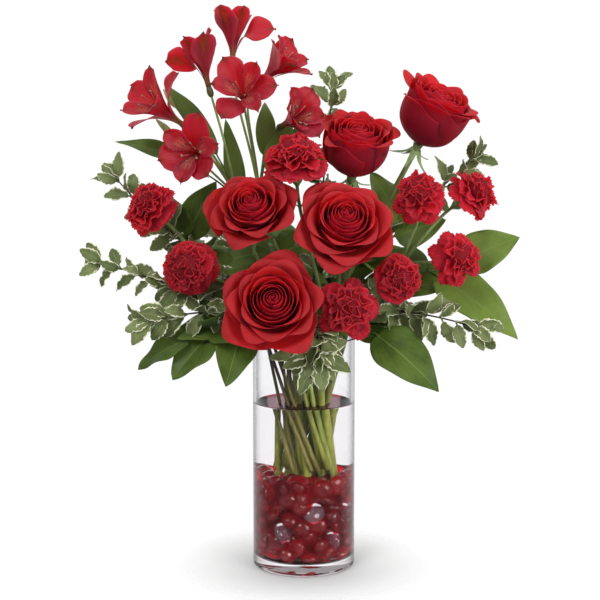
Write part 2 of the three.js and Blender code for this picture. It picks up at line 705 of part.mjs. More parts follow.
function addAlstroemeriaStem(name, spec) {
  const r = STEM_R.alstroemeria;
  const umbel = at(spec.umbel);
  const main = stemPoints({ ...spec, footZ: 50, head: umbel, from: umbel.clone().add(V(6, -2, -60)), steps: 4 });
  const line = polyline(main.slice(1));
  const parts = [rod(main, main.map(() => r), 5)];
  keepHole(main, r, 5);
  takeStem(main, r + 3, name);
  const root = umbel.clone().add(V(0, 0, -3));
  for (const head of spec.heads) {
    const { at: place, yaw, pitch } = ALSTROEMERIAS[head];
    const way = facing(yaw, pitch);
    const top = at(place).addScaledVector(way, -0.4);
    const low = top.clone().addScaledVector(way, -9);
    const bend = new THREE.CubicBezierCurve3(root, root.clone().lerp(low, 0.3).add(V(0, 0, 12)), low.clone().addScaledVector(way, -18), low);
    parts.push(rod([...bend.getPoints(2), top.clone().addScaledVector(way, -4), top], [1.3, 1.2, 1.6, 3.4, 2.8], 4));
    takeStem(bend.getPoints(2), 4, name);
  }
  for (const bud of spec.buds) {
    const tip = at(bud);
    const twig = [root, root.clone().lerp(tip, 0.6).add(V(4, 2, -4))];
    const out = tip.clone().sub(twig[1]).normalize();
    parts.push(rod([...twig, tip.clone().addScaledVector(out, 8), tip.clone().addScaledVector(out, 22)], [1.2, 1.2, 3.4, 0.6], 4));
  }
  for (const one of spec.leaves) {
    const [base, tip] = [line.getPointAt(one.from), at(one.tip)];
    parts.push(leaf({ root: base, tip, up: at(one.up), width: one.width, shape: "lance", arch: 0.08, fold: 0.3 }));
    takeStem([base, tip], 10, name);
  }
  addNode(name, fuse(parts), "stalk");
}

// ---------- lemon leaf ----------
function addLemonBranch(name, spec) {
  const r = STEM_R.lemon;
  const end = at(spec.end);
  const main = stemPoints({ ...spec, footZ: WATER_FLOOR + 0.6, head: end, from: spec.via ? at(spec.via) : end.clone().lerp(V(0, 0, NECK_Z + 40), 0.4), steps: 5 });
  const line = polyline(main.slice(1));
  const parts = [rod(main, main.map(() => r), 4)];
  keepHole(main, r, 4);
  takeStem(main, r + 3, name);
  for (const one of spec.leaves) {
    const [root, tip] = [line.getPointAt(one.from), at(one.tip)];
    parts.push(leaf({ root, tip, up: at(one.up), width: one.width, arch: 0.07, fold: 0.18 }));
    for (const side of [-0.5, 0, 0.5]) {
      const frame = leafFrame(root, tip, at(one.up));
      takeBalls(spread(0.15, 0.9, 6).map((u) => leafPoint(root, frame, u, side, one.width / 2, 0.07, 0.18, 0)), 7.5, name);
    }
  }
  addNode(name, fuse(parts), "lemon");
}

// ---------- pittosporum ----------
const TRIES = 9;

function addPittosporumBranch(name, spec) {
  const r = STEM_R.pittosporum;
  const roll = dice(spec.seed * 977);
  const main = stemPoints({ ...spec, footZ: WATER_FLOOR + 0.6, head: at(spec.tip), from: at(spec.from), steps: 6 });
  const above = polyline(main.slice(1));
  const parts = [rod(main, main.map((_, i) => (i > 4 ? 1.3 : r)), 4)];
  keepHole(main, r, 4);
  takeStem(main, r + 3, name);
  const { length, width } = PITTOSPORUM_LEAF;
  for (let i = 0; i < spec.count; i++) {
    const share = i / (spec.count - 1);
    const t = 1 - spec.leafy * (1 - share ** 0.6);
    const joint = above.getPointAt(t);
    const ahead = above.getTangentAt(t);
    const size = mix(1.08, 0.8, share) * (0.9 + 0.2 * roll());
    const start = roll() * 360;
    for (let k = 0; k < TRIES; k++) {
      const side = V(0, 0, 1).cross(ahead).normalize();
      const lean = rad(mix(68, 38, share));
      const spin = new THREE.Quaternion().setFromAxisAngle(ahead, rad(start + i * GOLDEN + k * 40));
      const out = side.applyQuaternion(spin);
      const way = ahead.clone().multiplyScalar(Math.cos(lean)).addScaledVector(out, Math.sin(lean));
      way.z -= 0.12;
      way.normalize();
      const root = joint.clone();
      const tip = root.clone().addScaledVector(way, length * size);
      const up = V(0, -0.5, 0.5).add(ahead);
      const frame = leafFrame(root, tip, up);
      const half = (width * size) / 2;
      const spots = [[0.2, 0], [0.45, 0], [0.7, 0], [1, 0], [0.35, -1], [0.35, 1], [0.7, -1], [0.7, 1]];
      const marks = spots.map(([u, v]) => leafPoint(root, frame, u, v, half * 0.9, 0.1, 0.3, 0));
      if (!isFree(marks, name)) continue;
      parts.push(leaf({ root, tip, up, width: 2 * half, shape: "short", across: 1, fold: 0, wave: 1.1 }));
      takeBalls(marks, 6.5, name);
      break;
    }
  }
  addNode(name, fuse(parts), "pittosporum");
}

// ---------- assembly ----------
for (const [name, spec] of Object.entries(ROSES)) addRose(name, spec);
for (const [name, spec] of Object.entries(CARNATIONS)) addCarnation(name, spec);
for (const [name, spec] of Object.entries(CARNATION_SPRAYS)) addCarnationSpray(name, spec);
for (const [name, spec] of Object.entries(ALSTROEMERIAS)) addAlstroemeria(name, spec);
for (const [name, spec] of Object.entries(ALSTROEMERIA_STEMS)) addAlstroemeriaStem(name, spec);
for (const [name, spec] of Object.entries(LEMON_BRANCHES)) addLemonBranch(name, spec);
for (const [name, spec] of Object.entries(PITTOSPORUM_BRANCHES)) addPittosporumBranch(name, spec);
const bores = fuse(holes);
addNode("pebble_bed", pebbleBed().subtract(bores), "pebbles");
addNode("water", water().subtract(bores), "water");
addNode("vase", vase(), "glass");

export default whole;
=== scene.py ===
"""Cut flowers in a clear glass cylinder of water on red glass pebbles: open and half-open roses,
spray carnations, alstroemeria, variegated pittosporum and lemon leaf.

Blender's units are metres. Places of heads, stems and leaves are in millimetres, +Z up, with the
origin in the middle of the vase's underside and -Y as the front, and MM turns them into metres.
"""

import math

import bmesh
import bpy
from bpy.props import FloatProperty, FloatVectorProperty, IntProperty, PointerProperty
from mathutils import Matrix, Quaternion, Vector


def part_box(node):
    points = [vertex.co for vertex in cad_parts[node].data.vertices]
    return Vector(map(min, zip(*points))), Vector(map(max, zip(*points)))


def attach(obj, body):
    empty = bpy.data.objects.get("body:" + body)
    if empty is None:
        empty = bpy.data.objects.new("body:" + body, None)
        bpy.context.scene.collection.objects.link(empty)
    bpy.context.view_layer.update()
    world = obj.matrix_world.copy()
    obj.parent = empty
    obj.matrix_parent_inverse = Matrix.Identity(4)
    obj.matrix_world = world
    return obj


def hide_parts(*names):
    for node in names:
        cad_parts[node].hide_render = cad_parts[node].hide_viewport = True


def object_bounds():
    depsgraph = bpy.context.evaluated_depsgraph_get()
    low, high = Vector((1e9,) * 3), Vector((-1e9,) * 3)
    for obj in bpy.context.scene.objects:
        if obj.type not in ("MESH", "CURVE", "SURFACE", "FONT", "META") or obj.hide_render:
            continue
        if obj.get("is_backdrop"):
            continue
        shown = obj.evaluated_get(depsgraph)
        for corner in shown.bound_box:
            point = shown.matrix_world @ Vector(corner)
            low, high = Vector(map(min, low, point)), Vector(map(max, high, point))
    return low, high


bl_info = {
    "name": "Cut Flowers in a Glass Cylinder",
    "version": (1, 0, 0),
    "blender": (4, 5, 0),
    "location": "View3D > Sidebar > Flowers",
    "description": "Builds a vase of roses, carnations, alstroemeria and greenery on its frame",
    "category": "Add Mesh",
}

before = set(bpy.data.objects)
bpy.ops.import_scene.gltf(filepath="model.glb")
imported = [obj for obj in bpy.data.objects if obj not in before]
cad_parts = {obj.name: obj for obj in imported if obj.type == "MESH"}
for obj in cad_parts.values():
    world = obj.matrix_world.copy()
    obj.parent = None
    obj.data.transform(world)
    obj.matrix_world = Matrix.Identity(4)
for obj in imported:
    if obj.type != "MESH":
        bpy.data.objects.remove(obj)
CAD_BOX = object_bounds()
MM = 0.001


def node_box(node):
    """Lowest and highest corner of a node, in millimetres."""
    low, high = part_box(node)
    return Vector(low) / MM, Vector(high) / MM


# ---------- sizes worked out from the frame ----------
VASE_LOW, VASE_HIGH = node_box("vase")
BED_LOW, _ = node_box("pebble_bed")
WATER_LOW, WATER_HIGH = node_box("water")
VASE_RADIUS = (VASE_HIGH.x - VASE_LOW.x) / 2
VASE_HEIGHT = VASE_HIGH.z
# the gap that the frame leaves between the glass and what is in it
GAP = 0.35
BORE = (WATER_HIGH.y - WATER_LOW.y) / 2 + GAP
BASE_THICK = BED_LOW.z - GAP
WATER_LEVEL = WATER_HIGH.z
WATER_FLOOR = WATER_LOW.z
BED_TOP = 89.0
# height at which the stems pass the neck of the vase, and how far each shell of them stands from the middle
NECK_Z = 220.0
SHELLS = {"outer": 38.0, "middle": 25.0, "inner": 12.0}
# degrees that a stem goes round the middle from the neck to the deepest foot, and that foot's height
TWIST = 118.0
DEEPEST_FOOT_Z = 24.0
# points on the straight part of a stem, below the neck
STRAIGHT_STEPS = 6
STEM_R = {"rose": 3.0, "carnation": 1.8, "alstroemeria": 2.4, "pittosporum": 1.5, "lemon": 1.6}
# degrees from each petal to the next
GOLDEN = 137.508
# room that other leaves keep to a small leaf and to a large one
LEAF_ROOM, LARGE_LEAF_ROOM = 4.0, 6.0


# ---------- small tools ----------
def vec(x, y, z):
    """A point or a direction."""
    return Vector((x, y, z))


def mix(a, b, t):
    """From a at t = 0 to b at t = 1."""
    return a + (b - a) * t


def clamp(x, low=0.0, high=1.0):
    """x, kept from low to high."""
    return max(low, min(high, x))


def smooth(edge0, edge1, x):
    """Goes softly from 0 at edge0 to 1 at edge1."""
    t = clamp((x - edge0) / (edge1 - edge0))
    return t * t * (3 - 2 * t)


def dice(seed):
    """The same run of numbers from 0 to 1 each time."""
    state = seed

    def roll():
        nonlocal state
        state = (state * 9301 + 49297) % 233280
        return state / 233280

    return roll


def facing(yaw, pitch):
    """The way a head faces: yaw turns it from the front to the right, pitch lifts it."""
    y, p = math.radians(yaw), math.radians(pitch)
    return vec(math.sin(y) * math.cos(p), -math.cos(y) * math.cos(p), math.sin(p))


def around(radius, degrees, z):
    """A point at this distance from the upright axis."""
    a = math.radians(degrees)
    return vec(radius * math.cos(a), radius * math.sin(a), z)


def bezier(a, b, c, d, t):
    """From a to d in a curve that b and c pull, for numbers and for points."""
    s = 1 - t
    return a * s**3 + b * (3 * s * s * t) + c * (3 * s * t * t) + d * t**3


def head_turn(way, roll):
    """Turns a head from upright to the way it faces, after a roll round its own axis."""
    tilt = vec(0, 0, 1).rotation_difference(way)
    return tilt @ Quaternion((0, 0, 1), math.radians(roll))


def seat_at(place, turn):
    """Moves a head or bead that was made at the origin to its place."""
    return Matrix.Translation(place) @ turn.to_matrix().to_4x4()


class Route:
    """A line through points, read by its share of the length."""

    def __init__(self, points):
        self.points = points
        self.marks = [0.0]
        for a, b in zip(points, points[1:]):
            self.marks.append(self.marks[-1] + (b - a).length)

    def _leg(self, share):
        want = clamp(share) * self.marks[-1]
        i = 1
        while i < len(self.marks) - 1 and self.marks[i] < want:
            i += 1
        span = self.marks[i] - self.marks[i - 1]
        return i, (want - self.marks[i - 1]) / span if span else 0.0

    def at(self, share):
        """The point at this share of the length."""
        i, t = self._leg(share)
        return self.points[i - 1].lerp(self.points[i], t)

    def ahead(self, share):
        """The direction of the line at this share of the length."""
        i, _ = self._leg(share)
        return (self.points[i] - self.points[i - 1]).normalized()


# ---------- the arrangement ----------
# at is the middle of a head; yaw and pitch say which way it faces, and roll how it is turned round that way;
# shell and turn place its stem in the neck; open runs from a closed rose to a wide one; tone is added to
# the tint of its petals or leaves; via is a point that pulls the stem; start is a leaf's share of the stem
ROSES = {
    "rose_left": dict(
        at=(-48, -75, 357), yaw=-8, pitch=36, shell="middle", turn=-65, seed=671,
        width=90, depth=38, open=1, roll=20,
    ),
    "rose_right": dict(
        at=(37, -88, 345), yaw=4, pitch=32, shell="outer", turn=-6, seed=789,
        width=101, depth=42, open=1, roll=121, tone=0.55,
    ),
    "rose_front": dict(
        at=(-28, -108, 273), yaw=0, pitch=22, shell="outer", turn=-68, seed=868,
        width=101, depth=42, open=1, roll=78,
    ),
    # rose_top and rose_high have a low tone: painted shade on their tops, which face the lamps
    "rose_top": dict(
        at=(50, -12, 413), yaw=10, pitch=57, shell="middle", turn=8, seed=542,
        width=73, depth=58, open=0.08, flap=0.55, roll=10, tone=-0.2,
    ),
    "rose_high": dict(
        at=(124, -5, 444), yaw=42, pitch=56, shell="middle", turn=48, seed=788,
        width=84, depth=61, open=0.12, roll=235, tone=-0.8,
    ),
}
CARNATIONS = {
    "carnation_far_left": dict(tone=-0.8, at=(-152, -42, 363), yaw=-42, pitch=35, width=52, roll=0),
    "carnation_left": dict(tone=-1.1, at=(-111, -72, 303), yaw=-18, pitch=6, width=54, roll=30),
    "carnation_top": dict(tone=-0.2, at=(-8, -59, 412), yaw=-5, pitch=64, width=60, roll=10),
    "carnation_right_high": dict(form="loose", tone=0.5, at=(107, -52, 373), yaw=-8, pitch=35, width=54, roll=50),
    "carnation_far_right": dict(form="side", tone=0.3, at=(172, -14, 374), yaw=60, pitch=30, width=52, roll=44),
    "carnation_right": dict(form="loose", tone=0.75, at=(151, -57, 311), yaw=36, pitch=10, width=51, roll=70),
    "carnation_right_low": dict(tone=-0.4, at=(89, -86, 293), yaw=14, pitch=4, width=45, roll=15),
    "carnation_front": dict(form="loose", tone=-0.3, at=(41, -100, 267), yaw=6, pitch=2, width=57, roll=40),
}
CARNATION_SPRAYS = {
    "carnation_stem_left": dict(
        fork=(-85, -42, 290), shell="outer", turn=-90, heads=["carnation_far_left", "carnation_left"]
    ),
    "carnation_stem_top": dict(fork=None, shell="middle", turn=-28, heads=["carnation_top"]),
    "carnation_stem_right": dict(
        fork=(95, -8, 300), shell="outer", turn=57,
        heads=["carnation_right_high", "carnation_far_right", "carnation_right"],
    ),
    "carnation_stem_front": dict(
        fork=(48, -38, 262), shell="outer", turn=-27, heads=["carnation_right_low", "carnation_front"]
    ),
}
ALSTROEMERIAS = {
    "alstroemeria_top": dict(at=(-70, 16, 500), yaw=150, pitch=83, width=60, depth=51, roll=-5, upright=1, bent=0),
    "alstroemeria_top_left": dict(
        at=(-93, 8, 474), yaw=-100, pitch=74,
        width=60, depth=50, roll=60, upright=1, bent=2,
    ),
    "alstroemeria_middle": dict(at=(-58, -6, 458), yaw=0, pitch=22, width=60, depth=40, roll=0),
    "alstroemeria_top_right": dict(at=(-44, 22, 478), yaw=66, pitch=36, width=60, depth=50, roll=-10, upright=0.5),
    "alstroemeria_far_left": dict(at=(-119, -16, 438), yaw=-48, pitch=28, width=66, depth=50, roll=-12),
    "alstroemeria_low_left": dict(at=(-99, -26, 408), yaw=-14, pitch=2, width=60, depth=40, roll=180),
    "alstroemeria_right": dict(at=(-20, -6, 436), yaw=35, pitch=16, width=50, depth=40, roll=90),
}
ALSTROEMERIA_STEMS = {
    "alstroemeria_stem_left": dict(
        umbel=(-66, -6, 372),
        shell="inner",
        turn=-150,
        heads=["alstroemeria_top_left", "alstroemeria_far_left", "alstroemeria_low_left"],
        buds=[(-125, 10, 454), (-128, 0, 427)],
        leaves=[
            dict(tip=(-133, 2, 480), start=1, width=15, up=(0.2, -1, 0.3), stalk=0.3),
            dict(tip=(-179, -20, 424), start=0.97, width=15, up=(0, -0.7, 0.7), stalk=0.34),
            dict(tip=(-78, 52, 440), start=0.94, width=16, up=(0, 1, 0.2)),
        ],
    ),
    "alstroemeria_stem_right": dict(
        umbel=(-44, 4, 374),
        shell="inner",
        turn=60,
        heads=["alstroemeria_top", "alstroemeria_middle", "alstroemeria_top_right", "alstroemeria_right"],
        buds=[],
        leaves=[
            dict(tip=(-36, 16, 462), start=1, width=15, up=(0.2, -1, 0.1), stalk=0.36),
            dict(tip=(-12, 14, 444), start=0.97, width=18, up=(0.1, -1, 0.3), stalk=0.26),
            dict(tip=(10, 30, 456), start=0.93, width=15, up=(0.3, -1, 0)),
        ],
    ),
}
LEMON_BRANCHES = {
    "lemon_leaf_left": dict(
        end=(-118, 10, 322),
        shell="middle",
        turn=-100,
        leaves=[
            dict(tip=(-86, 4, 382), start=1, width=38, up=(-0.2, -1, 0.1), tone=0.15),
            dict(tip=(-132, 14, 366), start=1, width=34, up=(-0.3, -1, 0.2)),
            dict(tip=(-150, -18, 282), start=0.45, width=40, up=(-0.2, -0.9, 0.5)),
        ],
    ),
    "lemon_leaf_middle": dict(
        end=(-34, 26, 312),
        shell="inner",
        turn=170,
        leaves=[
            dict(tip=(-80, 14, 330), start=1, width=38, up=(0, -1, 0.2)),
            dict(tip=(16, 30, 322), start=0.96, width=40, up=(0, -1, 0.2)),
            dict(tip=(-78, 6, 270), start=0.7, width=40, up=(0, -1, 0.3)),
        ],
    ),
    "lemon_leaf_low_left": dict(
        end=(-104, -58, 236),
        shell="outer",
        turn=-106,
        leaves=[
            dict(tip=(-157, -62, 206), start=1, width=30, up=(-0.3, -0.7, 0.8)),
            dict(tip=(-123, -74, 198), start=0.8, width=40, up=(-0.2, -0.8, 0.6)),
            dict(tip=(-72, -90, 194), start=0.55, width=42, up=(0, -1, 0.3), tone=0.1),
        ],
    ),
    "lemon_leaf_right": dict(
        end=(150, 2, 300),
        shell="outer",
        turn=80,
        leaves=[
            dict(tip=(210, -10, 328), start=1, width=44, up=(-0.2, -1, 0.4), tone=0.8),
            dict(tip=(207, -34, 233), start=0.85, width=48, up=(0, -0.9, 0.6), tone=0.9),
            dict(tip=(142, -14, 280), start=0.6, width=30, up=(0, -1, 0.3)),
        ],
    ),
    "lemon_leaf_behind_right": dict(
        end=(101, 30, 334),
        via=(62, 46, 306),
        shell="middle",
        turn=88,
        leaves=[
            dict(tip=(68, 48, 392), start=1, width=36, up=(0.2, -1, 0.2)),
            dict(tip=(142, 24, 344), start=0.9, width=38, up=(0, -1, 0.3)),
        ],
    ),
    "lemon_leaf_low_right": dict(
        end=(64, -44, 240),
        via=(62, -14, 246),
        shell="outer",
        turn=15,
        lead=24,
        leaves=[dict(tip=(126, -76, 188), start=1, width=50, up=(0.1, -0.9, 0.5), tone=0.1)],
    ),
    "lemon_leaf_back": dict(
        end=(-8, 92, 300),
        shell="outer",
        turn=112,
        leaves=[
            dict(tip=(-58, 112, 348), start=1, width=44, up=(-0.2, 1, 0.3)),
            dict(tip=(34, 118, 336), start=1, width=42, up=(0.2, 1, 0.3)),
            dict(tip=(52, 96, 236), start=0.7, width=44, up=(0.2, 1, 0.4)),
            dict(tip=(-66, 92, 240), start=0.6, width=44, up=(-0.2, 1, 0.4)),
        ],
    ),
}
# length and width of a leaf, and of one on the low branches in front
PITTOSPORUM_LEAF, LOW_LEAF = (29.5, 14.0), (31.0, 15.0)
PITTOSPORUM_BRANCHES = {
    "pittosporum_left_high": dict(
        tip=(-180, -8, 382), via=(-128, 2, 318),
        shell="middle", turn=-142, leafy=0.42, count=9, seed=3,
    ),
    "pittosporum_left": dict(
        tip=(-190, -52, 306), via=(-130, -62, 286),
        shell="outer", turn=-152, leafy=0.48, count=9, seed=7,
    ),
    "pittosporum_low_left": dict(
        leaf=LOW_LEAF, tip=(-142, -72, 252), via=(-92, -66, 266),
        shell="outer", turn=-136, leafy=0.72, count=11, seed=11,
    ),
    "pittosporum_top": dict(
        tip=(28, 12, 470), via=(22, 2, 406),
        shell="inner", turn=-60, leafy=0.36, count=8, seed=5,
    ),
    "pittosporum_right_high": dict(
        tip=(166, 14, 404), via=(116, 68, 345),
        shell="middle", turn=125, leafy=0.3, count=7, seed=9,
    ),
    "pittosporum_low_right": dict(
        leaf=LOW_LEAF, tip=(160, -62, 246), via=(98, -52, 264),
        shell="outer", turn=36, leafy=0.6, count=10, seed=13,
    ),
    "pittosporum_front": dict(
        leaf=LOW_LEAF, tip=(12, -84, 222), via=(10, -66, 262),
        shell="outer", turn=-47, leafy=0.3, count=8, seed=2,
    ),
    "pittosporum_back_left": dict(
        tip=(-96, 92, 330), via=(-50, 60, 290),
        shell="outer", turn=165, leafy=0.55, count=8, seed=17,
    ),
    "pittosporum_back_right": dict(
        tip=(92, 88, 352), via=(52, 56, 300),
        shell="middle", turn=160, leafy=0.55, count=8, seed=19,
    ),
}
# tips and widths of the leaves that hang over the rim of the vase
HANGING_LEAVES = [
    ((-20, -93, 212), 14),
    ((-5, -95, 187), 15),
    ((17, -95, 190), 17),
    ((43, -92, 208), 16),
    ((-33, -88, 221), 13),
    ((39, -86, 236), 14),
    ((2, -97, 204), 12),
]


# ---------- where the stems run ----------
def stem_points(spec, foot_z, head, via, steps):
    """Points of a stem from its foot, straight through the neck of the vase, then in a bend to its head."""
    r = SHELLS[spec["shell"]]
    neck = around(r, spec["turn"], NECK_Z)
    deepest = around(r, spec["turn"] + TWIST, DEEPEST_FOOT_Z)
    down = (deepest - neck).normalized()
    foot = neck + down * ((neck.z - foot_z) / -down.z)
    lift = neck - down * spec.get("lead", 45)
    bend = [bezier(neck, lift, via, head, i / steps) for i in range(steps + 1)]
    return [foot.lerp(neck, i / STRAIGHT_STEPS) for i in range(STRAIGHT_STEPS)] + bend


def foot_swell(share):
    """How much thicker a stem is in the water."""
    return 1 + 0.22 * smooth(0.6, 0.2, share)


def above_neck(points):
    """The part of a stem past the neck of the vase, where its leaves stand."""
    return Route(points[STRAIGHT_STEPS:])


# ---------- the space that is taken ----------
TAKEN_HEADS, TAKEN_BALLS = [], []
STEM_BALL_STEP = 6.0


def take_head(centre, way, radius, half):
    """Takes a flat-ended lump of space, half deep each way."""
    TAKEN_HEADS.append((centre, way, radius, half))


def take_balls(points, radius, owner):
    """Takes a ball of space at each point, which its owner may still use."""
    TAKEN_BALLS.extend((p, radius, owner) for p in points)


def take_stem(points, radius, owner):
    """Takes the space along a stem."""
    for a, b in zip(points, points[1:]):
        n = max(1, math.ceil((b - a).length / STEM_BALL_STEP))
        take_balls([a.lerp(b, k / n) for k in range(n)], radius, owner)


def in_vase(p, beside, above):
    """Whether a point is in the vase, or nearer than beside or above to it."""
    return math.hypot(p.x, p.y) < VASE_RADIUS + beside and p.z < VASE_HEIGHT + above


def is_free(points, owner):
    """Whether points are clear of the vase, of the heads and of what others than their owner have taken."""
    for p in points:
        if in_vase(p, 4, 5):
            return False
        for centre, way, radius, half in TAKEN_HEADS:
            out = p - centre
            h = out.dot(way)
            if (out.length_squared - h * h) / radius**2 + h**2 / half**2 < 1:
                return False
        for ball, radius, other in TAKEN_BALLS:
            if other != owner and (ball - p).length < radius:
                return False
    return True


# ---------- mesh pieces ----------
class Sheet:
    """A mesh that gathers blades, rods and beads in millimetres, with a UV map and a tint per point."""

    def __init__(self):
        self.bm = bmesh.new()
        self.bm.loops.layers.uv.new("UVMap")
        self.bm.verts.layers.float.new("tint")
        self.scratch = bpy.data.meshes.new("scratch")

    def _start(self, slot, tint, across, along):
        """A small flat grid in a mesh of its own, its UVs from its own corners."""
        bm = bmesh.new()
        uv = bm.loops.layers.uv.new("UVMap")
        layer = bm.verts.layers.float.new("tint")
        made = bmesh.ops.create_grid(bm, x_segments=across, y_segments=along, size=1)["verts"]
        for f in bm.faces:
            f.smooth = True
            f.material_index = slot
            for loop in f.loops:
                loop[uv].uv = ((loop.vert.co.x + 1) / 2, (loop.vert.co.y + 1) / 2)
        for v in made:
            v[layer] = tint
        return bm, made

    def _take(self, bm):
        """Adds a finished small mesh to the piece."""
        bm.to_mesh(self.scratch)
        bm.free()
        self.bm.from_mesh(self.scratch)

    def blade(self, across, along, place, slot=0, tint=0.5, thick=0.4, back_slot=None):
        """A petal or leaf: place(u, s) gives a point, u from root 0 to tip 1 and s from -1 to 1.

        slot is the face towards which across and along turn like a right-hand screw: the outside of a
        petal round its axis, or the top of a leaf.
        """
        bm, made = self._start(slot, tint, across, along)
        for v in made:
            v.co = place((v.co.y + 1) / 2, v.co.x)
        bmesh.ops.remove_doubles(bm, verts=made, dist=0.02)
        bm.normal_update()
        region = bm.verts[:] + bm.edges[:] + bm.faces[:]
        for g in bmesh.ops.extrude_face_region(bm, geom=region, use_keep_orig=True)["geom"]:
            if isinstance(g, bmesh.types.BMVert):
                g.co -= g.normal * thick
            elif isinstance(g, bmesh.types.BMFace) and back_slot is not None:
                g.material_index = back_slot
        bmesh.ops.recalc_face_normals(bm, faces=bm.faces)
        self._take(bm)

    def rod(self, points, radius, sides=8, slot=0, tint=0.5):
        """A round stem through points; radius(share) gives its thickness along the way."""
        n = len(points) - 1
        bm, made = self._start(slot, tint, sides, n)
        frames = self._frames(points)
        for v in made:
            i = round((v.co.y + 1) / 2 * n)
            a, b = frames[i]
            turn = v.co.x * math.pi
            r = radius(i / n)
            v.co = points[i] + a * (r * math.cos(turn)) + b * (r * math.sin(turn))
        bmesh.ops.remove_doubles(bm, verts=made, dist=0.01)
        ends = [e for e in bm.edges if e.is_boundary]
        for f in bmesh.ops.holes_fill(bm, edges=ends, sides=sides)["faces"]:
            f.material_index = slot
        bmesh.ops.recalc_face_normals(bm, faces=bm.faces)
        self._take(bm)

    @staticmethod
    def _frames(points):
        """Two directions across the line at each point, which don't twist along it."""
        last = len(points) - 1
        first = (points[1] - points[0]).normalized()
        side = vec(1, 0, 0) if abs(first.x) < 0.9 else vec(0, 1, 0)
        frames = []
        for i in range(last + 1):
            ahead = (points[min(i + 1, last)] - points[max(i - 1, 0)]).normalized()
            side = (side - ahead * side.dot(ahead)).normalized()
            frames.append((side, ahead.cross(side)))
        return frames

    def bead(self, centre, turn, radii, slot=0, tint=0.5, rings=8, around_it=12):
        """A rounded lump: a ball stretched to radii, turned and put at centre."""
        bm = bmesh.new()
        layer = bm.verts.layers.float.new("tint")
        matrix = seat_at(centre, turn) @ Matrix.Diagonal((*radii, 1))
        made = bmesh.ops.create_uvsphere(
            bm, u_segments=around_it, v_segments=rings, radius=1, matrix=matrix, calc_uvs=True
        )
        for v in made["verts"]:
            v[layer] = tint
        for f in bm.faces:
            f.smooth = True
            f.material_index = slot
        self._take(bm)

    def finish(self, name, materials, nodes, slot, place=None, smooth_levels=0):
        """Makes the object in metres, dresses it and ties it to the frame."""
        if place:
            bmesh.ops.transform(self.bm, matrix=place, verts=self.bm.verts)
        bmesh.ops.scale(self.bm, vec=(MM, MM, MM), verts=self.bm.verts)
        mesh = bpy.data.meshes.new(name)
        self.bm.to_mesh(mesh)
        self.bm.free()
        bpy.data.meshes.remove(self.scratch)
        for material in materials:
            mesh.materials.append(material)
        piece = bpy.data.objects.new(name, mesh)
        bpy.context.scene.collection.objects.link(piece)
        if smooth_levels:
            rounder = piece.modifiers.new("Rounder", "SUBSURF")
            rounder.levels = rounder.render_levels = smooth_levels
        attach(piece, "root")
        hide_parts(*nodes)
        return piece


def leaf_outline(kind, u):
    """Half width of a leaf, as a share of the widest, at u of its length."""
    if kind == "oval":
        return math.sin(math.pi * u**0.72) ** 0.78 * (1 - 0.25 * u) * 1.08
    if kind == "lance":
        return math.sin(math.pi * u**0.8) ** 0.8
    if kind == "sepal":
        return (1 - u) ** 0.8 * smooth(0, 0.12, u + 0.05)
    return math.sin(math.pi * u**0.9) ** 0.62


def leaf_frame(root, tip, up):
    """A leaf's own directions: along it, off its top, across it, and its length."""
    along = tip - root
    length = along.length
    along.normalize()
    face = (up - along * up.dot(along)).normalized()
    return along, face, along.cross(face), length


def grow_leaf(sheet, root, tip, up, width, kind, look, slots=(0, 1), tint=0.5, thick=0.45, grid=(8, 12)):
    """A leaf from its root on the stem to its tip. look gives arch, fold, wave, waves, twist and stalk."""
    along, face, across, length = leaf_frame(root, tip, up)
    stalk = look.get("stalk", 0)

    def place(u, s):
        share = stalk + (1 - stalk) * u
        half = leaf_outline(kind, clamp(u, 0, 1)) * width / 2
        half *= 1 + look.get("ragged", 0) * math.sin(34 * u + (2 if s > 0 else 0))
        edge = half * s
        ripple = look.get("wave", 0) * math.sin(look.get("waves", 6) * math.pi * u + 1.3 * s) * abs(s) ** 2
        curl = look.get("curl", 0) * u * u * length
        lift = look.get("arch", 0.1) * 4 * share * (1 - share) * length + look.get("fold", 0.2) * abs(edge)
        lift += ripple * min(1, half / 3) - curl
        turn = look.get("twist", 0) * (u - 0.3)
        sideways = across * math.cos(turn) + face * math.sin(turn)
        return root + along * (share * length) + sideways * edge + face * lift

    sheet.blade(grid[0], grid[1], place, slots[0], tint, thick, back_slot=slots[1])
    if stalk:
        ends = [root, root.lerp(place(0.06, 0), 0.5) + face * (0.01 * length), place(0.06, 0)]
        sheet.rod(ends, lambda t: mix(1.1, 0.75, t), 6, slots[0], tint)


# ---------- shader tools ----------
def add_node(tree, kind, **settings):
    """A node of this kind, with its settings."""
    node = tree.nodes.new(kind)
    for key, value in settings.items():
        setattr(node, key, value)
    return node


def set_inputs(node, **values):
    """Sets a node's inputs, with _ for each space in their names."""
    for name, value in values.items():
        node.inputs[name.replace("_", " ")].default_value = value


def join(tree, source, target):
    tree.links.new(source, target)


def math_node(tree, operation, a, b=None, clamped=False):
    """A Math node on numbers or sockets."""
    node = add_node(tree, "ShaderNodeMath", operation=operation, use_clamp=clamped)
    for socket, value in zip(node.inputs, (a, b)):
        if value is None:
            continue
        if isinstance(value, (int, float)):
            socket.default_value = value
        else:
            join(tree, value, socket)
    return node.outputs[0]


def ramp_between(tree, value, low, high, to_low=0.0, to_high=1.0):
    """Turns low to high into to_low to to_high, with soft ends."""
    node = add_node(tree, "ShaderNodeMapRange", interpolation_type="SMOOTHSTEP")
    join(tree, value, node.inputs["Value"])
    set_inputs(node, From_Min=low, From_Max=high, To_Min=to_low, To_Max=to_high)
    return node.outputs["Result"]


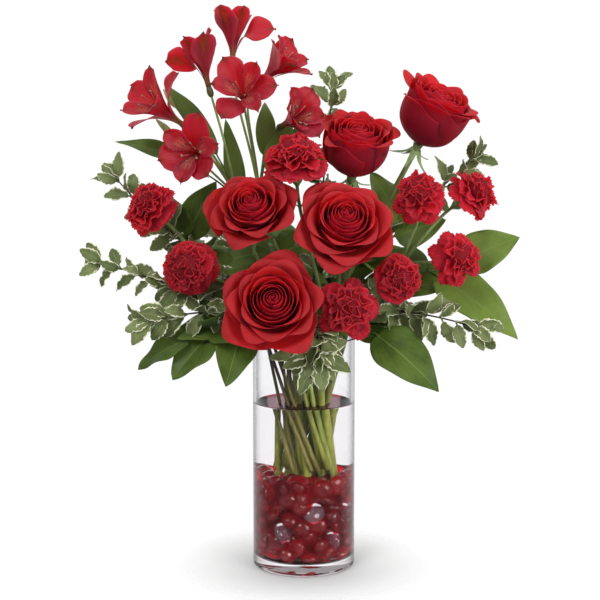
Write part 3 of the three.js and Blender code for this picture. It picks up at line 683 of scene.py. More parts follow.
def colour_mix(tree, factor, a, b):
    """From colour a to colour b by factor; each may be a value or a socket."""
    node = add_node(tree, "ShaderNodeMix", data_type="RGBA")
    for socket, value in ((node.inputs["Factor"], factor), (node.inputs[6], a), (node.inputs[7], b)):
        if isinstance(value, (int, float)):
            socket.default_value = value
        elif isinstance(value, tuple):
            socket.default_value = (*value, 1)
        else:
            join(tree, value, socket)
    return node.outputs[2]


def layer(tree, colour, mask, strength, paint):
    """Lays paint over a colour where the mask is, at most as thick as strength."""
    return colour_mix(tree, math_node(tree, "MULTIPLY", mask, strength), colour, paint)


def weighed_sum(tree, *terms):
    """Adds values, each times its weight, and keeps the last sum from 0 to 1."""
    parts = [math_node(tree, "MULTIPLY", value, weight) for value, weight in terms]
    total = parts[0]
    for part in parts[1:]:
        total = math_node(tree, "ADD", total, part, clamped=part is parts[-1])
    return total


def split(tree, vector):
    """The X, Y and Z of a vector."""
    parts = add_node(tree, "ShaderNodeSeparateXYZ")
    join(tree, vector, parts.inputs[0])
    return parts.outputs


def noise_over(tree, vector, **look):
    """A noise that is read at vector."""
    noise = add_node(tree, "ShaderNodeTexNoise")
    set_inputs(noise, **look)
    join(tree, vector, noise.inputs["Vector"])
    return noise.outputs[0]


def stretched(tree, vector, scale):
    """A vector times scale."""
    stretch = add_node(tree, "ShaderNodeMapping")
    set_inputs(stretch, Scale=scale)
    join(tree, vector, stretch.inputs["Vector"])
    return stretch.outputs[0]


def object_place(tree):
    return add_node(tree, "ShaderNodeTexCoord").outputs["Object"]


def uv_place(tree):
    return add_node(tree, "ShaderNodeUVMap", uv_map="UVMap").outputs[0]


def tint_value(tree):
    return add_node(tree, "ShaderNodeAttribute", attribute_name="tint").outputs["Fac"]


def new_group(name, inputs, outputs):
    """A shader node group of numbers, with its inner input and output nodes."""
    group = bpy.data.node_groups.new(name, "ShaderNodeTree")
    for label, default in inputs:
        socket = group.interface.new_socket(name=label, in_out="INPUT", socket_type="NodeSocketFloat")
        socket.default_value = default
    for label in outputs:
        group.interface.new_socket(name=label, in_out="OUTPUT", socket_type="NodeSocketFloat")
    return group, add_node(group, "NodeGroupInput"), add_node(group, "NodeGroupOutput")


def mottle_group():
    """Cloudy patches that change slowly over the surface."""
    group, inside, out = new_group("Mottle", [("Scale", 60.0), ("Low", 0.35), ("High", 0.65)], ["Value"])
    noise = noise_over(group, object_place(group), Detail=3.0, Roughness=0.55)
    join(group, inside.outputs["Scale"], noise.node.inputs["Scale"])
    spread = add_node(group, "ShaderNodeMapRange", interpolation_type="SMOOTHSTEP")
    join(group, noise, spread.inputs["Value"])
    join(group, inside.outputs["Low"], spread.inputs["From Min"])
    join(group, inside.outputs["High"], spread.inputs["From Max"])
    join(group, spread.outputs["Result"], out.inputs["Value"])
    return group


def blade_group():
    """Where a point is on its blade, from the UV map: side from -1 to 1, from the rib, and along it."""
    group, _, out = new_group("Blade Place", [], ["Side", "From Rib", "Along", "Tint"])
    uv = split(group, uv_place(group))
    side = math_node(group, "MULTIPLY_ADD", uv["X"], 2.0)
    side.node.inputs[2].default_value = -1.0
    join(group, side, out.inputs["Side"])
    join(group, math_node(group, "ABSOLUTE", side), out.inputs["From Rib"])
    join(group, uv["Y"], out.inputs["Along"])
    join(group, tint_value(group), out.inputs["Tint"])
    return group


def streak_group():
    """Fine lines that run from a petal's root to its rim, and waver."""
    group, inside, out = new_group("Petal Streaks", [("Lines", 40.0), ("Waver", 2.0)], ["Value"])
    uv = uv_place(group)
    waver = math_node(group, "MULTIPLY", noise_over(group, uv, Scale=5.0, Detail=2.0), inside.outputs["Waver"])
    lines = math_node(group, "MULTIPLY", split(group, uv)["X"], inside.outputs["Lines"])
    wave = math_node(group, "SINE", math_node(group, "ADD", lines, waver))
    value = math_node(group, "MULTIPLY_ADD", wave, 0.5)
    value.node.inputs[2].default_value = 0.5
    join(group, value, out.inputs["Value"])
    return group


def vein_group():
    """A leaf's midrib and its side veins, which slant towards the tip."""
    looks = [("Pairs", 7.0), ("Slant", 1.6), ("Rib Width", 0.05)]
    group, inside, out = new_group("Leaf Veins", looks, ["Rib", "Veins"])
    uv = split(group, uv_place(group))
    side = math_node(group, "ABSOLUTE", math_node(group, "SUBTRACT", uv["X"], 0.5))
    slanted = math_node(group, "MULTIPLY", side, inside.outputs["Slant"])
    row = math_node(group, "MULTIPLY", math_node(group, "SUBTRACT", uv["Y"], slanted), inside.outputs["Pairs"])
    wave = math_node(group, "COSINE", math_node(group, "MULTIPLY", row, math.tau))
    join(group, ramp_between(group, wave, 0.86, 1.0), out.inputs["Veins"])
    rib = add_node(group, "ShaderNodeMapRange", interpolation_type="SMOOTHSTEP")
    join(group, side, rib.inputs["Value"])
    join(group, inside.outputs["Rib Width"], rib.inputs["From Min"])
    set_inputs(rib, From_Max=0.0, To_Min=0.0, To_Max=1.0)
    join(group, rib.outputs["Result"], out.inputs["Rib"])
    return group


GROUP_MAKERS = {
    "Mottle": mottle_group,
    "Blade Place": blade_group,
    "Petal Streaks": streak_group,
    "Leaf Veins": vein_group,
}


def use_group(tree, name, **values):
    """Puts a group into a tree and gives its outputs."""
    group = bpy.data.node_groups.get(name) or GROUP_MAKERS[name]()
    node = add_node(tree, "ShaderNodeGroup", node_tree=group)
    set_inputs(node, **values)
    return node.outputs


def mottle(tree, scale, low=0.3, high=0.7):
    """Cloudy patches, from 0 to 1."""
    return use_group(tree, "Mottle", Scale=scale, Low=low, High=high)["Value"]


def new_material(name, roughness, **plain):
    """A material, its node tree and its shader; plain gives numbers and colours that are the same all over."""
    material = bpy.data.materials.new(name)
    material.use_nodes = True
    shader = material.node_tree.nodes["Principled BSDF"]
    set_inputs(shader, Roughness=roughness, **plain)
    return material, material.node_tree, shader


def bump(tree, shader, height, strength, distance):
    """Fine relief; distance is its height in metres."""
    node = add_node(tree, "ShaderNodeBump")
    set_inputs(node, Strength=strength, Distance=distance)
    join(tree, height, node.inputs["Height"])
    join(tree, node.outputs[0], shader.inputs["Normal"])


def uneven_gloss(tree, shader, value, roughness, swing=0.08):
    """Lets the roughness wander a little with value, which runs from 0 to 1."""
    join(tree, ramp_between(tree, value, 0.0, 1.0, roughness - swing, roughness + swing), shader.inputs["Roughness"])


def settings():
    return bpy.context.scene.bouquet


# ---------- petal and leaf materials ----------
# heights of the fine relief, in metres
PETAL_GRAIN, LEAF_GRAIN = 0.0004, 0.0005
# light that soaks through a petal, red the furthest
PETAL_GLOW = dict(Subsurface_Weight=0.75, Subsurface_Radius=(1.0, 0.12, 0.1), Subsurface_Scale=0.006)


def petal_material(name, deep, bright, rim, streaks, roughness, sheen):
    """Soft petals: painted shade that deepens the colour towards the root, brighter outward, a painted highlight along
    the rim, and fine streaks.
    """
    cloth = dict(Specular_IOR_Level=0.12, Sheen_Weight=sheen, Sheen_Roughness=0.4, Sheen_Tint=(*bright, 1))
    material, tree, shader = new_material(name, roughness, **cloth, **PETAL_GLOW)
    place = use_group(tree, "Blade Place")
    patch = mottle(tree, 70.0)
    lines = use_group(tree, "Petal Streaks", Lines=streaks, Waver=3.0)["Value"]
    # painted shade: each petal darkens towards its root, where the petals round it shade it
    outward = ramp_between(tree, place["Along"], 0.35, 0.98)
    body = weighed_sum(tree, (outward, 0.55), (place["Tint"], 0.4), (patch, 0.2))
    colour = colour_mix(tree, body, deep, bright)
    colour = layer(tree, colour, lines, 0.14, deep)
    # painted highlight: a lighter band along the rim
    colour = layer(tree, colour, ramp_between(tree, place["Along"], 0.9, 1.0), 0.6, rim)
    join(tree, colour, shader.inputs["Base Color"])
    uneven_gloss(tree, shader, patch, roughness)
    bump(tree, shader, math_node(tree, "ADD", lines, patch), 0.25, PETAL_GRAIN)
    return material


TEPAL_LINE = (0.22, 0.003, 0.011)
TEPAL_CLAW = (0.32, 0.16, 0.05)
TEPAL_THROAT = (0.62, 0.22, 0.16)
TEPAL_DASH = (0.05, 0.002, 0.004)
TEPAL_TIP = (0.03, 0.03, 0.008)


def tepal_material(name, red, pale, face):
    """Alstroemeria: crimson with a paler margin. face is outside, with an olive streak to the tip;
    plain; or streaked, with a pale throat and dark dashes."""
    outside = face == "outside"
    cloth = dict(Specular_IOR_Level=0.22, Sheen_Weight=0.1, Sheen_Tint=(*pale, 1))
    material, tree, shader = new_material(name, 0.5, **cloth, **PETAL_GLOW)
    place = use_group(tree, "Blade Place")
    rib, along = place["From Rib"], place["Along"]
    lines = use_group(tree, "Petal Streaks", Lines=60.0, Waver=2.5)["Value"]
    patch = mottle(tree, 90.0)
    colour = layer(tree, red, ramp_between(tree, rib, 0.3, 1.0), 0.8 if outside else 0.35, pale)
    colour = layer(tree, colour, lines, 0.28, TEPAL_LINE)
    colour = layer(tree, colour, ramp_between(tree, along, 0.3, 0.02), 0.85, TEPAL_CLAW)
    if face == "streaked":
        begin, end = ramp_between(tree, along, 0.25, 0.4), ramp_between(tree, along, 0.78, 0.62)
        throat = math_node(tree, "MULTIPLY", begin, end)
        cream = math_node(tree, "MULTIPLY", throat, ramp_between(tree, rib, 0.75, 0.2))
        colour = layer(tree, colour, cream, 0.4, TEPAL_THROAT)
        colour = layer(tree, colour, dash_mask(tree, place["Side"]), throat, TEPAL_DASH)
    near_rib = ramp_between(tree, rib, 0.6 if outside else 0.45, 0.1)
    begins, full = (0.45, 0.86) if outside else (0.86, 0.97)
    tip = math_node(tree, "MULTIPLY", ramp_between(tree, along, begins, full), near_rib)
    colour = layer(tree, colour, tip, 0.92, TEPAL_TIP)
    join(tree, colour, shader.inputs["Base Color"])
    uneven_gloss(tree, shader, patch, 0.5)
    bump(tree, shader, math_node(tree, "ADD", lines, patch), 0.25, PETAL_GRAIN)
    return material


def dash_mask(tree, side):
    """Short dark dashes along a tepal: thin columns broken up by a noise stretched along them."""
    columns = math_node(tree, "SINE", math_node(tree, "MULTIPLY", side, 16.0))
    thin = ramp_between(tree, columns, 0.55, 0.85)
    noise = noise_over(tree, stretched(tree, uv_place(tree), (5.0, 9.0, 1.0)), Scale=1.6, Detail=1.0)
    return math_node(tree, "MULTIPLY", thin, ramp_between(tree, noise, 0.47, 0.55))


def leaf_material(name, dark, light, rib_colour, pairs, roughness, gloss, cream=None):
    """Leaves with a midrib and side veins, mottled, and with a cream edge where cream is given."""
    material, tree, shader = new_material(name, roughness, Specular_IOR_Level=gloss)
    place = use_group(tree, "Blade Place")
    veins = use_group(tree, "Leaf Veins", Pairs=pairs, Slant=1.4, Rib_Width=0.03)
    patch = mottle(tree, 45.0)
    colour = colour_mix(tree, weighed_sum(tree, (place["Tint"], 0.7), (patch, 0.3)), dark, light)
    colour = layer(tree, colour, veins["Veins"], 0.16, rib_colour)
    colour = layer(tree, colour, veins["Rib"], 0.6, rib_colour)
    if cream:
        uneven = mottle(tree, 190.0, 0.2, 0.8)
        reach = math_node(tree, "ADD", place["From Rib"], math_node(tree, "MULTIPLY", uneven, 0.3))
        edge = ramp_between(tree, reach, 0.97, 1.07)
        colour = colour_mix(tree, edge, colour, cream)
    join(tree, colour, shader.inputs["Base Color"])
    uneven_gloss(tree, shader, patch, roughness)
    height = math_node(tree, "SUBTRACT", patch, math_node(tree, "ADD", veins["Veins"], veins["Rib"]))
    bump(tree, shader, height, 0.35, LEAF_GRAIN)
    return material


def stalk_material(name, dark, light, foot=None):
    """Stems: long streaks of lighter and darker green, and in the water the foot's colour."""
    material, tree, shader = new_material(name, 0.5, Specular_IOR_Level=0.4)
    place = object_place(tree)
    noise = noise_over(tree, stretched(tree, place, (1.0, 1.0, 0.12)), Scale=320.0, Detail=3.0)
    streak = ramp_between(tree, noise, 0.35, 0.65)
    tone = weighed_sum(tree, (streak, 0.5), (use_group(tree, "Blade Place")["Tint"], 0.5))
    colour = colour_mix(tree, tone, dark, light)
    if foot:
        low = ramp_between(tree, split(tree, place)["Z"], (WATER_LEVEL + 45) * MM, (WATER_LEVEL - 8) * MM)
        pale = colour_mix(tree, tone, tuple(0.45 * c for c in foot), foot)
        colour = layer(tree, colour, low, 0.9, pale)
    join(tree, colour, shader.inputs["Base Color"])
    uneven_gloss(tree, shader, streak, 0.5)
    bump(tree, shader, noise, 0.3, PETAL_GRAIN)
    return material


def clear_material(name, colour, ior, edge=None, cast=None):
    """Glass or water, with painted shade where it is seen edge on: there its tint turns to the darker edge. The lamps
    shine through it on what stands in it, and cast is the tint of that light."""
    material, tree, shader = new_material(name, 0.0, Transmission_Weight=1.0, IOR=ior)
    shader.inputs["Base Color"].default_value = (*colour, 1)
    if edge:
        # painted shade: the tint darkens where the surface is seen edge on
        weight = add_node(tree, "ShaderNodeLayerWeight")
        painted_edge_shade = ramp_between(tree, weight.outputs["Facing"], 0.45, 0.8)
        join(tree, colour_mix(tree, painted_edge_shade, colour, edge), shader.inputs["Base Color"])
    shader.inputs["Specular Tint"].default_value = (0.25, 0.25, 0.25, 1)
    rays = add_node(tree, "ShaderNodeLightPath")
    through = add_node(tree, "ShaderNodeBsdfTransparent")
    through.inputs["Color"].default_value = (*(cast or (0.9 * c for c in colour)), 1)
    choice = add_node(tree, "ShaderNodeMixShader")
    join(tree, rays.outputs["Is Shadow Ray"], choice.inputs[0])
    join(tree, shader.outputs[0], choice.inputs[1])
    join(tree, through.outputs[0], choice.inputs[2])
    join(tree, choice.outputs[0], tree.nodes["Material Output"].inputs["Surface"])
    return material


# Rows of the finishes. A word that is the name of a setting stands for that setting's colour.
# petals: colour in the depth, which paints shade at the root, outward and the painted highlight at the rim, streaks,
# roughness and sheen
PETAL_FINISHES = {
    "Rose Petal": ("rose_deep", "rose_colour", (0.46, 0.022, 0.03), 34.0, 0.65, 0.05),
    "Rose Petal Back": ((0.24, 0.004, 0.013), (0.4, 0.01, 0.026), (0.46, 0.022, 0.036), 34.0, 0.7, 0.08),
    "Carnation Petal": ("carnation_deep", "carnation_colour", (0.62, 0.036, 0.055), 26.0, 0.65, 0.08),
    "Carnation Petal Back": ((0.19, 0.005, 0.01), (0.4, 0.014, 0.026), (0.55, 0.032, 0.05), 26.0, 0.7, 0.08),
}
# tepals: colour along the middle and at the margin, and which face it is
TEPAL_FINISHES = {
    "Tepal Outside": ("alstroemeria_colour", "alstroemeria_margin", "outside"),
    "Tepal Face": ("alstroemeria_colour", "alstroemeria_margin", "plain"),
    "Streaked Tepal Face": ("alstroemeria_colour", "alstroemeria_margin", "streaked"),
}
# leaves: darkest, lightest and rib colour, pairs of veins, roughness, gloss and the colour of the edge
LEAF_FINISHES = {
    "Alstroemeria Leaf": ((0.065, 0.11, 0.015), (0.17, 0.235, 0.042), (0.16, 0.23, 0.05), 1.0, 0.5, 0.2),
    "Lemon Leaf": ("leaf_dark", "leaf_light", (0.2, 0.3, 0.07), 6.0, 0.45, 0.22),
    "Lemon Leaf Underside": ((0.1, 0.17, 0.05), (0.2, 0.3, 0.1), (0.3, 0.4, 0.16), 6.0, 0.55, 0.3),
    "Pittosporum Leaf": (
        (0.07, 0.1, 0.03), (0.24, 0.29, 0.115), (0.36, 0.4, 0.2), 5.0, 0.5, 0.2, "cream_colour"
    ),
    "Pittosporum Underside": (
        (0.14, 0.18, 0.07), (0.28, 0.33, 0.15), (0.36, 0.4, 0.22), 5.0, 0.6, 0.2, "cream_colour"
    ),
}
# stems and other small round parts: darker and lighter streaks, and the colour in the water
STALK_FINISHES = {
    "Rose Stem": ((0.09, 0.12, 0.028), (0.25, 0.31, 0.085), (0.53, 0.6, 0.11)),
    "Rose Sepal": ((0.14, 0.24, 0.07), (0.36, 0.48, 0.2)),
    "Carnation Stem": ((0.13, 0.2, 0.05), (0.34, 0.44, 0.15), (0.48, 0.57, 0.11)),
    "Carnation Calyx": ((0.12, 0.2, 0.05), (0.3, 0.42, 0.15)),
    "Alstroemeria Stem": ((0.13, 0.2, 0.035), (0.32, 0.4, 0.12), (0.54, 0.62, 0.1)),
    "Ovary": ((0.05, 0.07, 0.02), (0.2, 0.16, 0.05)),
    "Green Bud": ((0.3, 0.32, 0.08), (0.6, 0.58, 0.28)),
    "Stamen": ((0.4, 0.05, 0.06), (0.62, 0.2, 0.18)),
    "Pollen": ((0.12, 0.07, 0.03), (0.45, 0.38, 0.24)),
    "Lemon Leaf Stem": ((0.07, 0.09, 0.025), (0.2, 0.22, 0.07), (0.45, 0.5, 0.09)),
    "Pittosporum Twig": ((0.015, 0.01, 0.008), (0.07, 0.04, 0.03), (0.34, 0.31, 0.07)),
}
FINISHES = (
    (petal_material, PETAL_FINISHES),
    (tepal_material, TEPAL_FINISHES),
    (leaf_material, LEAF_FINISHES),
    (stalk_material, STALK_FINISHES),
)


def make_finish(name):
    """Makes the material of this name from its row."""
    s = settings()
    maker, rows = next((maker, rows) for maker, rows in FINISHES if name in rows)
    row = [tuple(getattr(s, value)) if isinstance(value, str) and hasattr(s, value) else value for value in rows[name]]
    return maker(name, *row)


def finishes(*names):
    """The materials of these names, each made the first time that it is asked for."""
    return [bpy.data.materials.get(name) or make_finish(name) for name in names]


# ---------- vase, water and pebbles ----------
# how much each bends light; the film on the water bends it little, so that it shows its tint, a painted reflection
GLASS_BEND, WATER_BEND, PEBBLE_BEND, FILM_BEND = 1.5, 1.333, 1.16, 1.04
# light let through the surface, and the dark maroon of the water's rim: painted shade at the meniscus
FILM_CAST, RIM_PAINTED_SHADE = (0.85, 0.8, 0.82), (0.13, 0.003, 0.008)


def arc(centre, radius, start, end, steps=4):
    """Points of a round corner, as [radius, height]."""
    out = []
    for i in range(steps + 1):
        a = math.radians(mix(start, end, i / steps))
        out.append((centre[0] + radius * math.cos(a), centre[1] + radius * math.sin(a)))
    return out


def supported(profile, near=0.3):
    """The outline with a point close to each end of its long runs, so that the shading stays true."""
    points = [profile[0]]
    for (r0, z0), (r1, z1) in zip(profile, profile[1:]):
        length = math.hypot(r1 - r0, z1 - z0)
        if length > 6 * near:
            share = near / length
            points += [(mix(r0, r1, t), mix(z0, z1, t)) for t in (share, 1 - share)]
        points.append((r1, z1))
    return points


SHARP = math.radians(32)


def turned(profile, steps=96):
    """A body of revolution round the vase's axis, from points of its outline."""
    sheet = Sheet()
    bm = sheet.bm
    verts = [bm.verts.new((r, 0, z)) for r, z in supported(profile)]
    edges = [bm.edges.new(pair) for pair in zip(verts, verts[1:])]
    about = dict(cent=(0, 0, 0), axis=(0, 0, 1), dvec=(0, 0, 0))
    bmesh.ops.spin(bm, geom=verts + edges, angle=math.tau, steps=steps, use_merge=True, **about)
    bmesh.ops.remove_doubles(bm, verts=bm.verts, dist=0.001)
    bmesh.ops.recalc_face_normals(bm, faces=bm.faces)
    for f in bm.faces:
        f.smooth = True
    for e in bm.edges:
        e.smooth = e.calc_face_angle(0) < SHARP
    return sheet


# roundings of the vase's foot, of its lip and inside its base, and heights of the rings on its wall
FOOT_R, LIP_R, HEEL_R = 3.0, 1.5, 5.0
WALL_RINGS = (40, 90, 140, 190)
# how far the water laps into the glass, how deep its surface dips from the rim, and the width of its rim, a ring of
# painted shade
LAP, DIP, RIM_WIDTH = 0.1, 1.75, 1.6


def make_vase():
    """A straight cylinder with a thick base, hollow underneath, and a fire-rounded rim."""
    profile = [(0, 1.4), (VASE_RADIUS - 14, 1.0), (VASE_RADIUS - 8, 0)]
    profile += arc((VASE_RADIUS - FOOT_R, FOOT_R), FOOT_R, -90, 0, 6)
    profile += [(VASE_RADIUS, z) for z in (BASE_THICK, *WALL_RINGS)]
    profile += arc((VASE_RADIUS - LIP_R, VASE_HEIGHT - LIP_R), LIP_R, 0, 90, 5)
    profile += arc((BORE + LIP_R, VASE_HEIGHT - LIP_R), LIP_R, 90, 180, 5)
    profile += [(BORE, z) for z in reversed(WALL_RINGS)]
    profile += arc((BORE - HEEL_R, BASE_THICK + HEEL_R), HEEL_R, 0, -90, 6)
    profile += [(BORE - 20, BASE_THICK + 0.4), (0, BASE_THICK + 0.8)]
    s = settings()
    glass = clear_material("Vase Glass", tuple(s.glass_colour), GLASS_BEND, tuple(s.glass_edge_shade))
    # the thick base's darker, pinkish tint is painted shade and a painted reflection of the red pebbles
    thick = clear_material("Vase Base Glass", tuple(s.glass_base), GLASS_BEND, tuple(s.glass_edge_shade))
    sheet = turned(profile)
    for f in sheet.bm.faces:
        f.material_index = int(f.calc_center_median().z < BASE_THICK - 1)
    return sheet.finish("vase_glass", [glass, thick], ["vase"], "glass")


def make_water():
    """Water that wets the glass from the floor of the vase to its level, drawn up a little at the rim."""
    wet = BORE + LAP
    profile = [(0, BASE_THICK + 0.7), (BORE - 20, BASE_THICK + 0.3)]
    profile += arc((BORE - HEEL_R, BASE_THICK + HEEL_R), HEEL_R + LAP, -90, 0, 6)
    profile += [(wet, 60), (wet, WATER_FLOOR), (wet, 140), (wet, WATER_LEVEL)]
    profile += [(BORE - 0.5, WATER_LEVEL - 0.9), (BORE - 2.0, WATER_LEVEL - 1.5), (BORE - 6, WATER_LEVEL - 1.7)]
    profile += [(BORE / 2, WATER_LEVEL - DIP), (0, WATER_LEVEL - DIP)]
    sheet = turned(profile)
    # the surface takes the film, a dark mauve tint that is painted reflection and shade, and its outer ring the rim, a
    # dark maroon ring of painted shade
    for f in sheet.bm.faces:
        middle = f.calc_center_median()
        if middle.z > WATER_LEVEL - DIP - 0.45 and f.normal.z > 0.3:
            f.material_index = 2 if math.hypot(middle.x, middle.y) > BORE - RIM_WIDTH else 1
    s = settings()
    water = clear_material("Water", tuple(s.water_colour), WATER_BEND)
    film = clear_material("Water Surface", tuple(s.film_painted_reflection), FILM_BEND, cast=FILM_CAST)
    rim = clear_material("Water Rim", RIM_PAINTED_SHADE, FILM_BEND, cast=FILM_CAST)
    return sheet.finish("water_body", [water, film, rim], ["water"], "water")


# how many pebbles each ring of a row has, and how far out it reaches
PEBBLE_RINGS = ((13, BORE - 0.8), (9, BORE - 11), (5, 22), (1, 6))
# half of a pebble's thickness, the height from one row to the next, and that of the first row above the base
PEBBLE_HALF, ROW_STEP, FIRST_ROW = 5.6, 9.6, 7.5


def pebble_places():
    """Flat glass pebbles heaped to the bed's top: rings against the glass and others inside."""
    roll = dice(29)
    radius, half = settings().pebble_width / MM / 2, PEBBLE_HALF
    rows = int((BED_TOP - BASE_THICK) / ROW_STEP)
    for row in range(rows + 1):
        for count, reach in PEBBLE_RINGS:
            for i in range(count):
                degrees = 360 / count * (i + 0.5 * (row % 2) + 0.4 * (roll() - 0.5))
                upright = reach > BORE - 5 and roll() < 0.6
                lean = 24 * (roll() - 0.5) if upright else 130 * roll() - 40
                turn = head_turn(facing(90 + degrees + 70 * (roll() - 0.5), lean), 360 * roll())
                size = radius * mix(0.86, 1.06, roll())
                out = turn.inverted() @ around(1, degrees, 0)
                extent = math.sqrt((out.x * size) ** 2 + (out.y * size) ** 2 + (out.z * half) ** 2)
                z = BASE_THICK + FIRST_ROW + row * ROW_STEP + 4 * (roll() - 0.5)
                spot = around(max(2.0, reach - extent), degrees, z)
                if BASE_THICK + 6.0 < z < BED_TOP - 1:
                    # the lowest row gets the full tint, the brightest red: painted light from the floor below
                    yield spot, turn, (size, size, half * mix(0.85, 1.1, roll())), max(roll(), 1 - 0.7 * row)


# room that the front pebbles keep to the others
FRONT_ROOM = 11.0
# x, height, tilt to the left, tilt up, width and tint of the pebbles that lie flat against the front of the glass; a
# tint above 1.1 paints them pale, a painted reflection of the light above, and above 1.2 adds the painted glint
FRONT_PEBBLES = [
    (9, 61, -14, 22, 21, 1.8),
    (36, 58, 26, 10, 18, 1.55),
    (-19, 41, -24, 18, 20, 1.8),
    (3, 37, 4, -28, 19, 0.5),
    (26, 31, 20, 8, 20, 1.65),
    (-30, 79, -30, 12, 19, 0.9),
]


def front_pebbles():
    """The pebbles of the table above, set against the glass."""
    for x, z, left, up, width, tint in FRONT_PEBBLES:
        turn = head_turn(facing(-left, up), 0)
        reach = math.sqrt((BORE - 1.5) ** 2 - x * x) - 7
        yield vec(x, -reach, z), turn, (width / 2, width / 2, 5.0), tint


# colour of the painted glint that the pale pebbles emit along their upper rim
PAINTED_PEBBLE_GLINT = (0.85, 0.8, 0.82)


def pebble_material():
    """Clear red glass: its bending of light is what is left of it under water."""
    s = settings()
    material, tree, shader = new_material("Red Glass Pebbles", 0.0, Transmission_Weight=0.86, IOR=PEBBLE_BEND)
    set_inputs(shader, Coat_Roughness=0.0, Coat_IOR=1.9)
    tint = tint_value(tree)
    share = math_node(tree, "MULTIPLY_ADD", mottle(tree, 40.0, 0.35, 0.6), 0.35)
    join(tree, tint, share.node.inputs[2])
    share.node.use_clamp = True
    red = colour_mix(tree, share, tuple(s.pebble_deep), tuple(s.pebble_colour))
    # pebbles with a high tint turn pale: a painted reflection of the light above
    colour = colour_mix(tree, ramp_between(tree, tint, 1.1, 2.0), red, tuple(s.pebble_painted_reflection))
    join(tree, colour, shader.inputs["Base Color"])
    join(tree, ramp_between(tree, tint, 0.6, 1.3, 0.38, 0.7), shader.inputs["Coat Weight"])
    # a painted glint: a crescent of emitted light along the upper rim of the pale ones, fixed to the pebble's top
    upper = ramp_between(tree, split(tree, add_node(tree, "ShaderNodeNewGeometry").outputs["Normal"])["Z"], 0.7, 0.84)
    painted_glint = math_node(tree, "MULTIPLY", upper, ramp_between(tree, tint, 1.2, 1.6))
    join(tree, colour_mix(tree, painted_glint, (0.0, 0.0, 0.0), PAINTED_PEBBLE_GLINT), shader.inputs["Emission Color"])
    set_inputs(shader, Emission_Strength=1.0)
    return material


def make_pebbles():
    """Separate pebbles from the floor of the vase to the top of the bed."""
    sheet = Sheet()
    front = list(front_pebbles())
    others = [p for p in pebble_places() if all((p[0] - f[0]).length > FRONT_ROOM for f in front)]
    for spot, turn, radii, tint in front + others:
        sheet.bead(spot, turn, radii, 0, tint, rings=7, around_it=14)
    return sheet.finish("glass_pebbles", [pebble_material()], ["pebble_bed"], "pebbles")


# ---------- roses ----------
def rose_place(spec):
    """The way a bloom faces, the foot of its petals and how it is turned."""
    way = facing(spec["yaw"], spec["pitch"])
    root = Vector(spec["at"]) - way * (spec["depth"] / 2)
    return way, root, head_turn(way, spec["roll"])


